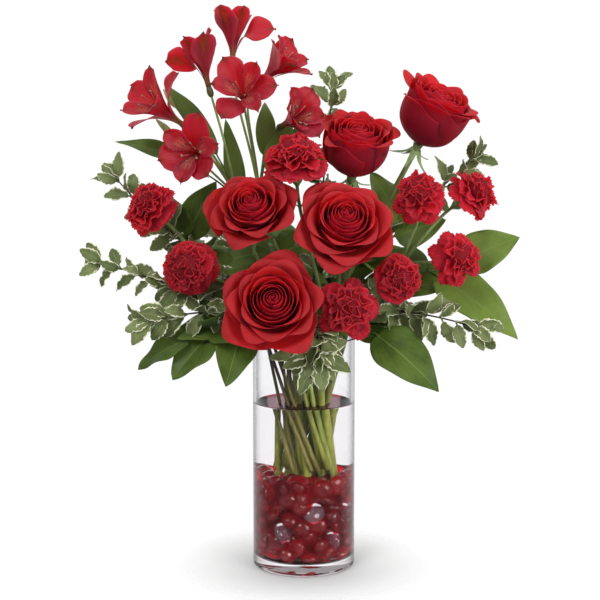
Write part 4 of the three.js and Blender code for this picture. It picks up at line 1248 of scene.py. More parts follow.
def rose_petal(sheet, s, middle, spec, roll):
    """One petal. s is 0 for the heart and 1 outside. Its body leans in at the heart and out towards the
    rim of an open rose, and its lip rolls over from that lean into a flap with a soft point."""
    op = spec["open"]
    full, depth = spec["width"] / 2, spec["depth"]
    outer = smooth(0.2, 1, s)
    reach = full * mix(0.1 + 1.0 * s, 0.05 + 0.97 * s**1.15, op) * mix(0.94, 1.05, roll())
    crest = mix(0.93 - 0.12 * s**2, 0.98 - 0.58 * s**1.9, op)
    top = depth * crest + mix(2.0, 3.6, outer) * (roll() - 0.5)
    half = mix(112, mix(62, 58, op), s**0.6) * mix(0.9, 1.1, roll())
    lean = math.radians(mix(mix(-14, 8, s), mix(-20, 46, smooth(0.0, 0.95, s)), op))
    opened = mix(smooth(0.5, 1.0, s), smooth(0.2, 0.85, s), op)
    wilful = mix(0.42, 0.18, op) * (2 * roll() - 1)
    end = max(lean + 0.25, math.radians(mix(10, mix(98, 118, op), opened) * (1 + wilful)))
    bend_r = mix(0.7, mix(3.0, 2.9, op), outer)
    flap = mix(0.4, mix(9.0, 2.8, op), outer ** mix(2.2, 1.4, op)) * mix(0.5, 1.35, roll()) * spec.get("flap", 1)
    bend = bend_r * (end - lean)
    crest_r = max(1.4, reach - bend_r * (math.cos(lean) - math.cos(end)) - flap * math.sin(end))
    low = mix(0.2, 1.0, s)
    lip = 1 - (bend + flap) / (bend + flap + 1.06 * math.hypot(crest_r, top - low))
    hold = 0.42 * (top - low)
    bulge = crest_r * mix(mix(1.2, 0.95, s), mix(1.4, 0.72, smooth(0.05, 0.9, s)), op) + 1
    belly = crest_r * 0.14 * (1 - op)
    rise = mix(mix(3.0, 12.0, s), mix(5.0, 1.0, s), op)
    taper, power = mix(0.12, 0.3, outer), mix(2.6, 1.35, outer)
    phase, sway, skew = roll() * 6.28, mix(0.2, 1.5, outer) * mix(0.5, 1.3, roll()), 0.5 * (roll() - 0.5)
    droop = mix(0.6, 4.5 * op + 1.0, s**2)

    def place(u, v):
        u = 1 - (1 - u) ** 1.5
        edge = abs(v - skew * (1 - v * v))
        point = 0.09 * outer * max(0.0, 1 - edge / 0.4) ** 1.3
        w = u * (1 - taper * edge**power + point)
        t = min(1.0, w / lip)
        r = bezier(2 + 2.5 * s, bulge, crest_r + belly - hold * math.sin(lean), crest_r, t)
        z = bezier(low, low + rise, top - hold * math.cos(lean), top, t)
        if w > lip:
            run = (w - lip) / (1 - lip) * (bend + flap)
            last = end + 0.8 * outer * edge**2
            turn = min(last, lean + run / bend_r)
            past = max(0, run - bend_r * (last - lean))
            r += bend_r * (math.cos(lean) - math.cos(turn)) + past * math.sin(last)
            z += bend_r * (math.sin(turn) - math.sin(lean)) + past * math.cos(last)
        r *= 1 - 0.1 * edge**2.2 * u**2 * (1 if v > 0 else 0.4)
        z += sway * math.sin(2.2 * math.pi * v + phase) * u**4 + 0.6 * math.sin(9 * v + phase) * u**9 * outer
        r += 1.5 * v * u * mix(0.5, 1.4, s) + 0.8 * math.sin(3.1 * v + phase) * u * u * s
        r += 0.8 * math.sin(6.3 * v - phase) * u**6 * outer
        return around(r, middle + half * v * mix(0.8, 1.0, u), z - droop * edge**2 * u**2)

    tint = clamp(mix(0.35, 0.6, s) + 0.5 * (roll() - 0.5) + spec.get("tone", 0), -0.5, 1.2)
    sheet.blade(14, 14, place, 1, tint, thick=0.4, back_slot=0)


def make_rose(name):
    """A bloom: petals in a spiral, from the heart outward, round a small core."""
    spec = ROSES[name]
    way, root, turn = rose_place(spec)
    roll = dice(spec["seed"])
    sheet = Sheet()
    count = settings().rose_petals
    for i in range(count):
        rose_petal(sheet, (i / (count - 1)) ** 1.1, i * GOLDEN, spec, roll)
    sheet.bead(vec(0, 0, spec["depth"] * 0.86), Quaternion(), (2.7, 2.7, 5.5), 1, 0.6)
    petals = finishes("Rose Petal", "Rose Petal Back")
    return sheet.finish(name + "_petals", petals, [name + "_bloom"], "rose", seat_at(root, turn), 1)


def rose_stem_points(spec, steps=22):
    """The run of a rose's stem, the way it ends and its top."""
    way, root, _ = rose_place(spec)
    top = root - way * 0.4
    foot_z = 30 + 10 * abs(math.sin(spec["turn"]))
    return stem_points(spec, foot_z, top, top - way * 58, steps), way, top


SEPALS, SEPAL_LENGTH, SEPAL_WIDTH = 5, 25, 7.5
HIP_SWELL = 3.2
# how far apart the joints of a rose's stem are, how far each reaches along it and how much it stands out
JOINT_STEP, JOINT_REACH, JOINT_SWELL = 62, 4, 0.5


def make_rose_stem(name):
    """Stem, the swelling under the petals and five sepals that bend back."""
    spec = ROSES[name]
    points, way, top = rose_stem_points(spec)
    _, _, turn = rose_place(spec)
    roll = dice(int(spec["turn"] * 3 + 500))
    sheet = Sheet()
    length = Route(points).marks[-1]

    def radius(share):
        left = (1 - share) * length
        hip = HIP_SWELL * smooth(17, 8, left) * mix(1, 0.82, smooth(4, 0, left))
        node = JOINT_SWELL * max(0, 1 - abs((share * length) % JOINT_STEP - JOINT_STEP / 2) / JOINT_REACH)
        return STEM_R["rose"] * mix(1, 0.86, share) * foot_swell(share) + hip + node

    sheet.rod(points, radius, 12, 0, 0.5)
    for i in range(SEPALS):
        out = turn @ around(1, i * 360 / SEPALS + 20, -0.55 - 0.2 * (i % 2))
        start = top - way * 3.2
        look = dict(arch=-0.12, fold=0.25, curl=0.1 * roll(), wave=0.5, waves=3, twist=0.8 * (roll() - 0.5))
        ends = start + out, start + out * SEPAL_LENGTH
        grow_leaf(sheet, *ends, way, SEPAL_WIDTH, "sepal", look, (1, 1), 0.4 + 0.5 * roll(), 0.5, (4, 10))
    return sheet.finish(name + "_stalk", finishes("Rose Stem", "Rose Sepal"), [name + "_stem"], "stalk")


# ---------- carnations ----------
# each ring of broad petals: how many, lean from the axis in degrees, reach, half span in degrees and
# ruffle in degrees
CARNATION_RINGS = {
    "full": [(5, 97, 1.06, 40, 2.5), (5, 84, 1.02, 40, 4.0), (6, 68, 0.96, 34, 6.0), (6, 52, 0.93, 30, 8.0)],
    "loose": [(5, 103, 1.12, 33, 2.5), (5, 88, 1.05, 33, 3.5), (6, 70, 0.96, 31, 5.0), (6, 54, 0.9, 28, 8.0)],
    "side": [(6, 88, 1.06, 38, 3.0), (6, 76, 1.0, 36, 4.0), (6, 62, 0.95, 34, 6.0), (5, 48, 0.9, 32, 8.0)],
}
# how many crumpled petals the heart has, and how far they lean out in degrees
HEART_CURLS = {"full": (30, 46), "loose": (20, 37), "side": (20, 38)}


def carnation_place(spec):
    """The way a head faces, the foot of its petals and how it is turned."""
    way = facing(spec["yaw"], spec["pitch"])
    return way, Vector(spec["at"]) - way * (0.27 * spec["width"]), head_turn(way, spec["roll"])


def carnation_petal(sheet, middle, ring, radius, round_end, tone, roll):
    """A broad fan with a toothed rim, which waves gently outside and more towards the heart."""
    _, lean, reach, half, ruffle = ring
    inner = clamp(1 - lean / 100)
    phase, folds = roll() * 6.28, mix(0.8, 1.5, roll()) + 0.8 * inner
    ruffle *= mix(0.7, 1.3, roll())
    size = radius * reach * mix(0.9, 1.06, roll())
    lean += mix(14, 22, inner) * (roll() - 0.5)
    tooth, teeth = mix(0.015, 0.03, roll()), 9 + int(4 * roll())
    arch = mix(16, -6, inner) * mix(0.4, 1.5, roll())
    swirl = 2.4 * (roll() - 0.5)

    def place(u, v):
        rim = 1 - round_end * v * v + 0.04 * math.sin(3 * v + phase)
        rim += tooth * (1 if round((v + 1) * teeth) % 2 else -1) * smooth(0.86, 1, u)
        far = size * mix(0.1, 1.0, u) * rim
        bend = ruffle * u**1.7 * math.sin(folds * math.pi * v + phase + swirl * u)
        bend += 0.35 * ruffle * u**3 * math.sin(7 * v + 2 * phase - 3 * u) + 1.8 * u**5 * math.sin(17 * v + phase)
        tilt = math.radians(lean + bend + arch * u * u)
        turn = middle + half * v * mix(0.35, 1.0, u**0.6)
        return around(far * math.sin(tilt), turn, 2.5 + far * math.cos(tilt) * 0.92)

    tint = clamp(mix(0.75, 0.4, inner) + tone + 0.4 * (roll() - 0.5), -0.8, 1)
    sheet.blade(22, 9, place, 1, tint, thick=0.4, back_slot=0)


def carnation_curl(sheet, share, middle, spread, radius, tone, roll):
    """A crumpled petal of the heart, which faces the middle and leans back from it at its toothed rim."""
    lean = math.radians(spread * share**0.5)
    reach = radius * mix(0.74, 1.0, roll())
    rim = around(reach * math.sin(lean), middle, 2.5 + 0.92 * reach * math.cos(lean))
    foot = vec(rim.x * 0.12, rim.y * 0.12, 3.0)
    ahead = (rim - foot).normalized()
    astray = mix(-1.0, 1.0, roll()) * mix(3.1, 1.0, smooth(0.0, 0.3, share))
    wide = Quaternion(ahead, astray) @ around(-1, middle + 90, 0)
    flat = ahead.cross(wide)
    half, depth = radius * mix(0.24, 0.42, roll()), radius * mix(0.07, 0.14, roll())
    phase, folds = 6.28 * roll(), mix(1.2, 2.0, roll())
    back = radius * mix(0.0, 0.26, share)

    def place(u, v):
        tooth = 0.6 * (1 if round((v + 1) * 8) % 2 else -1) * smooth(0.85, 1, u)
        wave = depth * u**1.3 * math.sin(folds * math.pi * v + phase) + 0.4 * depth * u**3 * math.sin(9 * v - phase)
        curl = back * u**3 - 0.25 * half * v * v * u
        rise = (rim - foot).length * u * (1 - 0.14 * v * v + 0.05 * math.sin(5 * v + phase)) + tooth
        return foot + ahead * rise + wide * (half * v * mix(0.15, 1.0, u**0.8)) + flat * (wave + curl)

    sheet.blade(18, 8, place, 1, clamp(0.3 + tone + 0.5 * roll(), -0.8, 1), thick=0.35, back_slot=0)


def make_carnation(name):
    """A head: rings of broad petals round a heart of crumpled ones."""
    spec = CARNATIONS[name]
    _, root, turn = carnation_place(spec)
    roll = dice(int(spec["width"] * 31 + spec["yaw"] + 100))
    sheet = Sheet()
    radius = spec["width"] / 2
    middle, tone = 0.0, spec.get("tone", 0.0)
    form = spec.get("form", "full")
    for ring in CARNATION_RINGS[form]:
        middle += 60 * roll()
        for i in range(ring[0]):
            middle += 360 / ring[0] + 22 * (roll() - 0.5)
            carnation_petal(sheet, middle, ring, radius, 0.16 if form == "full" else 0.28, tone, roll)
    heart = (0.56 * radius, 0.56 * radius, 0.4 * radius)
    sheet.bead(vec(0, 0, 2.5 + 0.36 * radius), Quaternion(), heart, 1, 0.3 + 0.4 * tone)
    curls, spread = HEART_CURLS[form]
    for i in range(curls):
        carnation_curl(sheet, (i + 0.5) / curls, i * GOLDEN, spread, radius, tone, roll)
    petals = finishes("Carnation Petal", "Carnation Petal Back")
    return sheet.finish(name + "_petals", petals, [name], "carnation", seat_at(root, turn))


# how far under a head its calyx begins and ends, and where its stalk runs into it
CALYX_TOP, CALYX_FOOT, STALK_END = 0.4, 23, 20


def make_carnation_stem(name):
    """A stem that forks to its heads, a calyx under each head, and narrow leaves at the fork."""
    spec = CARNATION_SPRAYS[name]
    r = STEM_R["carnation"]
    roll = dice(len(name) * 97)
    sheet = Sheet()
    way0, root0, _ = carnation_place(CARNATIONS[spec["heads"][0]])
    end = Vector(spec["fork"]) if spec["fork"] else root0 - way0 * STALK_END
    via = end.lerp(vec(0, 0, NECK_Z + 30), 0.35) if spec["fork"] else end - way0 * 50
    main = stem_points(spec, 46, end, via, 18)
    route = Route(main)

    def stem_radius(share):
        node = 0.7 * max(0, 1 - abs(((share * route.marks[-1]) % 55) - 30) / 3)
        return r * mix(1.08, 0.95, share) * foot_swell(share) + node

    sheet.rod(main, stem_radius, 9, 0, 0.5)
    for head in spec["heads"]:
        way, root, _ = carnation_place(CARNATIONS[head])
        low = root - way * STALK_END
        if spec["fork"]:
            bend = [bezier(end, end.lerp(low, 0.35) + vec(0, 0, 4), low - way * 16, low, i / 10) for i in range(11)]
            sheet.rod(bend, lambda t: mix(r, r * 0.85, t), 8, 0, 0.6)
        cup = [root - way * mix(CALYX_FOOT, CALYX_TOP, i / 14) for i in range(15)]

        def cup_radius(t):
            down = mix(CALYX_FOOT, CALYX_TOP, t)
            body = mix(1.7, 5.6, smooth(CALYX_FOOT, 15, down)) + 0.5 * smooth(15, 4, down)
            return body * mix(1, 0.86, smooth(3, 0, down))

        sheet.rod(cup, cup_radius, 14, 1, 0.5)
        turn = head_turn(way, 0)
        for i in range(5):
            out = turn @ around(1, i * 72, 0)
            start = root - way * 3.2 + out * 5.2
            look = dict(arch=0.02, fold=0.1)
            grow_leaf(sheet, start, start + way * 5 + out * 3.2, out, 5.5, "sepal", look, (1, 1), 0.7, 0.4, (4, 4))
    joint = route.at(0.93)
    for side in (-1, 1):
        out = around(1, spec["turn"] + 90 * side, 0.9)
        look = dict(arch=-0.12, fold=0.3, curl=0.1)
        tip = joint + out * mix(24, 34, roll())
        grow_leaf(sheet, joint, tip, vec(0, -0.3, 1), 3.4, "lance", look, (0, 0), 0.6, 0.5, (4, 10))
    return sheet.finish(name + "_stalk", finishes("Carnation Stem", "Carnation Calyx"), [name], "stalk")


# ---------- alstroemeria ----------
# share of the flower's reach and depth, half of the widest place, and how far apart the two rings stand
TEPALS = {
    "outer": dict(reach=1.0, tall=0.96, widest=13.5, apart=1.2),
    "inner": dict(reach=0.9, tall=1.0, widest=10.0, apart=-1.0),
}


def tepal(sheet, kind, degrees, spec, bent, slots, roll):
    """One of six: a narrow claw that opens to a broad spoon with a short dark claw at its tip."""
    form, upright = TEPALS[kind], spec.get("upright", 0)
    mouth = spec["width"] / 2 * form["reach"] * mix(0.9, 1.08, roll()) * mix(1, 0.72, upright)
    tall = spec["depth"] * form["tall"] * mix(0.95, 1.03, roll())
    widest = form["widest"] * mix(0.94, 1.08, roll())
    phase, flare = roll() * 6.28, mix(-0.1, 0.2, roll()) * (1 - 0.5 * upright) + (0.65 if bent else 0)
    cup = 0.06 if kind == "outer" else 0.3
    a = math.radians(degrees + 10 * (roll() - 0.5))
    out, side = vec(math.cos(a), math.sin(a), 0), vec(-math.sin(a), math.cos(a), 0)

    def half_width(u):
        body = 2.0 + (widest - 2.0) * smooth(0.12, 0.76, u)
        round_end = math.sqrt(max(0, 1 - ((u - 0.72) / 0.28) ** 2)) if u > 0.72 else 1
        return body * round_end ** (0.85 if kind == "outer" else 1.1)

    def place(u, v):
        w = half_width(u) * v * (1 + 0.07 * math.sin(13 * u + 3 * phase + (2 if v > 0 else 0)) * abs(v))
        spike = 2.4 * smooth(0.9, 1, u) * (1 - abs(v)) ** 2
        r = bezier(1.9, 2.2, mouth * 0.5, mouth * (1 + flare), u) + form["apart"] * smooth(0, 0.4, u) + spike * 0.7
        rim = tall * (1.02 - flare * mix(0.7, 0.5, upright))
        z = bezier(-1.0, tall * 0.46, tall * mix(0.86, 0.7, upright), rim, u)
        z += cup * abs(w) ** 1.3 * (1 - 0.5 * u)
        z += (1.1 * math.sin(3 * v + phase) + 0.4 * math.sin(8 * v - phase)) * u**3
        z += 1.1 * math.sin(11 * u + 2 * v + phase) * v * v * smooth(0.3, 0.6, u)
        roll_over = 1.15 * smooth(0.3, 0.75, u) if bent else 0
        sideways = side * math.cos(roll_over) + vec(0, 0, math.sin(roll_over))
        return out * (r - 0.009 * w * w) + sideways * w + vec(0, 0, z)

    sheet.blade(12, 18, place, slots[0], roll(), thick=0.45, back_slot=slots[1])


def make_alstroemeria(name):
    """A flower: six tepals, and six stamens that carry their pollen."""
    spec = ALSTROEMERIAS[name]
    way = facing(spec["yaw"], spec["pitch"])
    turn = head_turn(way, spec["roll"])
    roll = dice(int(spec["width"] * 13 + spec["roll"] * 5 + len(name)))
    sheet = Sheet()
    for i in range(6):
        kind = "inner" if i % 2 else "outer"
        tepal(sheet, kind, i * 60, spec, i == spec.get("bent"), (0, 2) if kind == "inner" else (0, 1), roll)
    for i in range(6):
        a = i * 60 + 30 * (roll() - 0.5)
        tall = spec["depth"] * mix(0.72, 0.9, roll())
        path = []
        for step in range(8):
            out = bezier(1, 2, 5, 8 + 3 * roll(), step / 7)
            path.append(around(out, a, bezier(2, tall * 0.4, tall * 0.8, tall, step / 7)))
        sheet.rod(path, lambda t: 0.42, 5, 3, 0.5)
        sheet.bead(path[-1], Quaternion((1, 0, 0), roll()), (0.9, 0.9, 1.8), 4, roll(), 5, 7)
    looks = finishes("Tepal Outside", "Tepal Face", "Streaked Tepal Face", "Stamen", "Pollen")
    return sheet.finish(name + "_tepals", looks, [name], "alstroemeria", seat_at(Vector(spec["at"]), turn))


def make_alstroemeria_stem(name):
    """The main stem, a thin stalk to each flower with its ovary, buds, and long leaves."""
    spec = ALSTROEMERIA_STEMS[name]
    r = STEM_R["alstroemeria"]
    roll = dice(len(name) * 41)
    sheet = Sheet()
    umbel = Vector(spec["umbel"])
    main = stem_points(spec, 50, umbel, umbel + vec(6, -2, -60), 18)
    route = above_neck(main)
    sheet.rod(main, lambda t: mix(r * 1.05, r * 0.8, t) * foot_swell(t), 9, 0, 0.45)
    root = umbel - vec(0, 0, 3)
    for head in spec["heads"]:
        place = ALSTROEMERIAS[head]
        way = facing(place["yaw"], place["pitch"])
        top = Vector(place["at"]) - way * 0.4
        low = top - way * 9
        bend = [bezier(root, root.lerp(low, 0.3) + vec(0, 0, 12), low - way * 18, low, i / 12) for i in range(13)]
        sheet.rod(bend, lambda t: mix(1.35, 1.15, t), 7, 0, 0.7)
        ovary = [low + way * mix(-1.5, 9, i / 9) for i in range(10)]
        sheet.rod(ovary, lambda t: 1.2 + 1.1 * t + 1.7 * math.sin(math.pi * t**0.8) ** 0.8, 9, 1, 0.3)
    for bud in spec["buds"]:
        tip = Vector(bud)
        knee = root.lerp(tip, 0.6) + vec(4, 2, -4)
        out = (tip - knee).normalized()
        stalk = [bezier(root, root.lerp(knee, 0.6), knee, tip, i / 10) for i in range(11)]
        sheet.rod(stalk, lambda t: 1.15, 6, 0, 0.8)
        body = [tip + out * mix(-1, 22, i / 12) for i in range(13)]
        sheet.rod(body, lambda t: 0.5 + 3.0 * math.sin(math.pi * t**0.75) ** 0.9, 9, 2, 0.6)
    for one in spec["leaves"]:
        look = dict(arch=0.1, fold=0.25, wave=1.6, waves=3.4, twist=1.6 * (roll() - 0.5), curl=0.16 * roll())
        look["stalk"] = one.get("stalk", 0.1)
        start, tip, width = route.at(one["start"]), Vector(one["tip"]), 1.3 * one["width"]
        grow_leaf(sheet, start, tip, Vector(one["up"]), width, "lance", look, (3, 3), roll(), 0.5, (8, 18))
    looks = finishes("Alstroemeria Stem", "Ovary", "Green Bud", "Alstroemeria Leaf")
    return sheet.finish(name + "_stalk", looks, [name], "stalk")


# ---------- greenery ----------
def lemon_line(spec, steps=18):
    """The run of a lemon leaf branch."""
    end = Vector(spec["end"])
    via = Vector(spec["via"]) if spec.get("via") else end.lerp(vec(0, 0, NECK_Z + 40), 0.4)
    return stem_points(spec, WATER_FLOOR + 0.6, end, via, steps)


def make_lemon_branch(name):
    """A branch with its large leaves, and filler leaves low on it."""
    spec = LEMON_BRANCHES[name]
    roll = dice(len(name) * 53 + 7)
    sheet = Sheet()
    main = lemon_line(spec)
    route = above_neck(main)
    sheet.rod(main, lambda t: STEM_R["lemon"] * mix(1.45, 0.75, t**0.6), 8, 2, 0.5)
    for one in spec["leaves"]:
        look = dict(arch=0.07, fold=0.18, wave=1.7, waves=4.4, stalk=0.06)
        look.update(twist=0.6 * (roll() - 0.5), curl=0.06 * roll())
        start, tip = route.at(one["start"]), Vector(one["tip"])
        tone = one.get("tone", 0.6 * roll())
        grow_leaf(sheet, start, tip, Vector(one["up"]), one["width"], "oval", look, (0, 1), tone, 0.45, (12, 18))
    for start, tip, up, width in filler_leaves(route, roll, 14, (0.12, 0.85), (40, 58), (24, 34)):
        look = dict(arch=0.08, fold=0.16, wave=0.9, waves=4, stalk=0.06)
        look.update(twist=0.6 * (roll() - 0.5), curl=0.1 * roll())
        grow_leaf(sheet, start, tip, up, width, "oval", look, (0, 1), 0.5 * roll(), 0.45, (8, 14))
    looks = finishes("Lemon Leaf", "Lemon Leaf Underside", "Lemon Leaf Stem")
    return sheet.finish(name + "_branch", looks, [name], "lemon_leaf")


def pittosporum_joints(spec, roll):
    """Shares along the branch where leaves stand: loose whorls out to the tip, and a tuft at its end."""
    whorls = spec["count"] // 2 + 2
    for whorl in range(whorls):
        share = whorl / (whorls - 1)
        leaves = 5 if whorl == whorls - 1 else 3 + int(2 * roll())
        for i in range(leaves):
            yield min(1.0, 1 - spec["leafy"] * (1 - share) + 0.035 * (roll() - 0.5)), share, i / leaves


def pittosporum_leaves(name, spec, route, roll):
    """Leaves turned round the branch, each kept clear of what is near."""
    long, wide = spec.get("leaf", PITTOSPORUM_LEAF)
    for t, share, turn in pittosporum_joints(spec, roll):
        joint, ahead = route.at(t), route.ahead(t)
        size = mix(1.05, 0.88, share) * mix(0.78, 1.12, roll())
        for k in range(9):
            side = vec(0, 0, 1).cross(ahead).normalized()
            lean = math.radians(mix(72, 42, share) + 30 * (roll() - 0.5))
            out = Quaternion(ahead, math.radians(360 * turn + k * 40 + 50 * roll())) @ side
            way = ahead * math.cos(lean) + out * math.sin(lean)
            way.y *= 0.55
            way.z -= 0.1
            way.normalize()
            tip = joint + way * long * size
            up = vec(1.7 * (roll() - 0.5), -0.8 if joint.y < 40 else 0.8, 1.2 * (roll() - 0.3)) + ahead * 0.3
            along, face, across, length = leaf_frame(joint, tip, up)
            half = wide * size / 2
            spots = [(0.2, 0), (0.45, 0), (0.7, 0), (1, 0), (0.35, -1), (0.35, 1), (0.7, -1), (0.7, 1)]
            marks = [joint + along * (u * length) + across * (v * half * 0.8) for u, v in spots]
            if not is_free(marks, name):
                continue
            take_balls(marks[1:3], LEAF_ROOM, name)
            yield joint, tip, up, 2 * half
            break


def clear_of_heads(points):
    """Whether points stay out of the cores of the heads and out of the vase."""
    for p in points:
        if in_vase(p, 3, 6):
            return False
        for centre, way, radius, half in TAKEN_HEADS:
            out = p - centre
            if out.length <= radius * 0.8 and abs(out.dot(way)) <= half:
                return False
    return True


def filler_leaves(route, roll, count, shares, lengths, widths):
    """Leaves low on a branch, which close the gaps between the heads."""
    for i in range(count):
        joint = route.at(mix(*shares, i / (count - 1)))
        out = around(1, 360 * roll(), 0.9 * (roll() - 0.35))
        out.y -= 0.3
        tip = joint + out.normalized() * mix(*lengths, roll())
        if clear_of_heads([joint.lerp(tip, u) for u in (0.3, 0.5, 0.75, 1)]):
            yield joint, tip, vec(0.3 * (roll() - 0.5), -0.8, 0.6), mix(*widths, roll())


def make_pittosporum_branch(name):
    """A twig with whorls of small leaves with cream edges."""
    spec = PITTOSPORUM_BRANCHES[name]
    roll = dice(spec["seed"] * 977)
    sheet = Sheet()
    main = stem_points(spec, WATER_FLOOR + 0.6, Vector(spec["tip"]), Vector(spec["via"]), 18)
    route = above_neck(main)
    take_stem(main, STEM_R["pittosporum"] + 2, name)
    sheet.rod(main, lambda t: STEM_R["pittosporum"] * mix(1.5, 0.45, t**0.6), 7, 2, 0.5)
    leaves = [*pittosporum_leaves(name, spec, route, roll)]
    leaves += filler_leaves(route, roll, 14, (0.1, 1 - 0.6 * spec["leafy"]), (22, 34), (12, 16))
    if name == "pittosporum_front":
        for tip, width in HANGING_LEAVES:
            leaves.append((route.at(0.97), Vector(tip), vec(0.4 * (roll() - 0.5), -1, 0.3), width))
    for joint, tip, up, width in leaves:
        look = dict(
            arch=mix(0.04, 0.12, roll()),
            fold=mix(0.1, 0.5, roll()),
            wave=mix(0.6, 1.5, roll()),
            waves=mix(3.5, 6, roll()),
            twist=1.8 * (roll() - 0.5),
            curl=0.2 * (roll() - 0.3),
            stalk=0.12,
            ragged=0.1,
        )
        grow_leaf(sheet, joint, tip, up, width, "short", look, (0, 1), roll(), 0.4, (4, 13))
    looks = finishes("Pittosporum Leaf", "Pittosporum Underside", "Pittosporum Twig")
    return sheet.finish(name + "_branch", looks, [name], "pittosporum")


def note_taken_space():
    """Marks what the small leaves keep clear of: heads, stems and large leaves."""
    TAKEN_HEADS.clear()
    TAKEN_BALLS.clear()
    for name, spec in ROSES.items():
        way = facing(spec["yaw"], spec["pitch"])
        take_head(Vector(spec["at"]), way, spec["width"] / 2 + 3, spec["depth"] * mix(0.56, 0.5, spec["open"]) + 3)
        take_stem(rose_stem_points(spec, 8)[0], STEM_R["rose"] + 3, name)
    for spec in CARNATIONS.values():
        way, root, _ = carnation_place(spec)
        take_head(Vector(spec["at"]), way, spec["width"] / 2 + 2, spec["width"] * 0.4)
        take_stem([root - way * 20, root], 8, "calyx")
    for spec in ALSTROEMERIAS.values():
        way = facing(spec["yaw"], spec["pitch"])
        take_head(Vector(spec["at"]) + way * (spec["depth"] * 0.62), way, spec["width"] / 2, spec["depth"] * 0.5)
    for name, spec in LEMON_BRANCHES.items():
        route = above_neck(lemon_line(spec))
        for one in spec["leaves"]:
            root, tip = route.at(one["start"]), Vector(one["tip"])
            along, face, across, length = leaf_frame(root, tip, Vector(one["up"]))
            for side in (-0.25, 0, 0.25):
                middle = root + across * (side * one["width"])
                spots = [middle + along * (length * mix(0.15, 0.9, i / 5)) for i in range(6)]
                take_balls(spots, LARGE_LEAF_ROOM, name)


# ---------- floor, light and camera ----------
CAMERA_AT = (-0.0038, -1.2, 0.385)
CAMERA_DOWN = 5.7
LENS = 73.3
LAMPS = {
    "key_light": dict(at=(-0.9, -1.5, 1.5), target=(0, 0, 0.3), size=0.9, power=15.5),
    "fill_light": dict(at=(1.3, -1.35, 0.55), target=(0, 0, 0.3), size=1.3, power=22),
    "top_light": dict(at=(0.1, 0.1, 1.9), target=(0, 0, 0.2), size=1.2, power=7),
}
FLOOR_HALF = 1.2
FLOOR_FADE = (0.15, 0.05)
FLOOR_COLOURS = (0.94, 0.94, 0.94), (0.96, 0.96, 0.96)
ROOM_FRONT, ROOM_BEHIND = (0.38, 0.38, 0.385), (1.0, 1.0, 1.0)


def make_floor():
    """A pale floor that fades into the room a little way from the vase."""
    bm = bmesh.new()
    bmesh.ops.create_grid(bm, x_segments=1, y_segments=1, size=FLOOR_HALF)
    bmesh.ops.translate(bm, vec=(0, 0, -0.0003), verts=bm.verts)
    mesh = bpy.data.meshes.new("floor")
    bm.to_mesh(mesh)
    bm.free()
    floor = bpy.data.objects.new("floor", mesh)
    bpy.context.scene.collection.objects.link(floor)
    material, tree, shader = new_material("Pale Floor", 0.7, Specular_IOR_Level=0.2)
    join(tree, colour_mix(tree, mottle(tree, 3.0, 0.0, 1.0), *FLOOR_COLOURS), shader.inputs["Base Color"])
    far = add_node(tree, "ShaderNodeVectorMath", operation="LENGTH")
    join(tree, object_place(tree), far.inputs[0])
    join(tree, ramp_between(tree, far.outputs["Value"], *FLOOR_FADE), shader.inputs["Alpha"])
    mesh.materials.append(material)
    floor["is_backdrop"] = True


def make_lamp(name, at, target, size, power):
    """A round soft lamp; size in metres and power in watts."""
    lamp = bpy.data.lights.new(name, "AREA")
    lamp.shape, lamp.size, lamp.energy = "DISK", size, power
    holder = bpy.data.objects.new(name, lamp)
    holder.location = at
    holder.rotation_euler = (Vector(target) - Vector(at)).to_track_quat("-Z", "Y").to_euler()
    bpy.context.scene.collection.objects.link(holder)


def make_world():
    """White light from behind and a dark room in front, so that glass and leaves keep their depth."""
    world = bpy.data.worlds.new("Studio")
    world.use_nodes = True
    bpy.context.scene.world = world
    tree = world.node_tree
    way = add_node(tree, "ShaderNodeTexCoord").outputs["Generated"]
    depth = ramp_between(tree, split(tree, way)["Y"], -0.1, 0.85)
    light = tree.nodes["Background"]
    join(tree, colour_mix(tree, depth, ROOM_FRONT, ROOM_BEHIND), light.inputs["Color"])
    light.inputs["Strength"].default_value = settings().sky_strength


def make_camera():
    """The photograph's view: a little above the middle, looking slightly down."""
    camera = bpy.data.cameras.new("camera")
    camera.lens, camera.sensor_width = LENS, 36.0
    holder = bpy.data.objects.new("camera", camera)
    holder.location = CAMERA_AT
    holder.rotation_euler = (math.radians(90 - CAMERA_DOWN), 0, 0)
    bpy.context.scene.collection.objects.link(holder)
    bpy.context.scene.camera = holder


# ---------- settings ----------
def colour_property(label, text, default):
    """A colour that a user may change."""
    return FloatVectorProperty(name=label, description=text, default=default, subtype="COLOR", size=3, min=0, max=1)


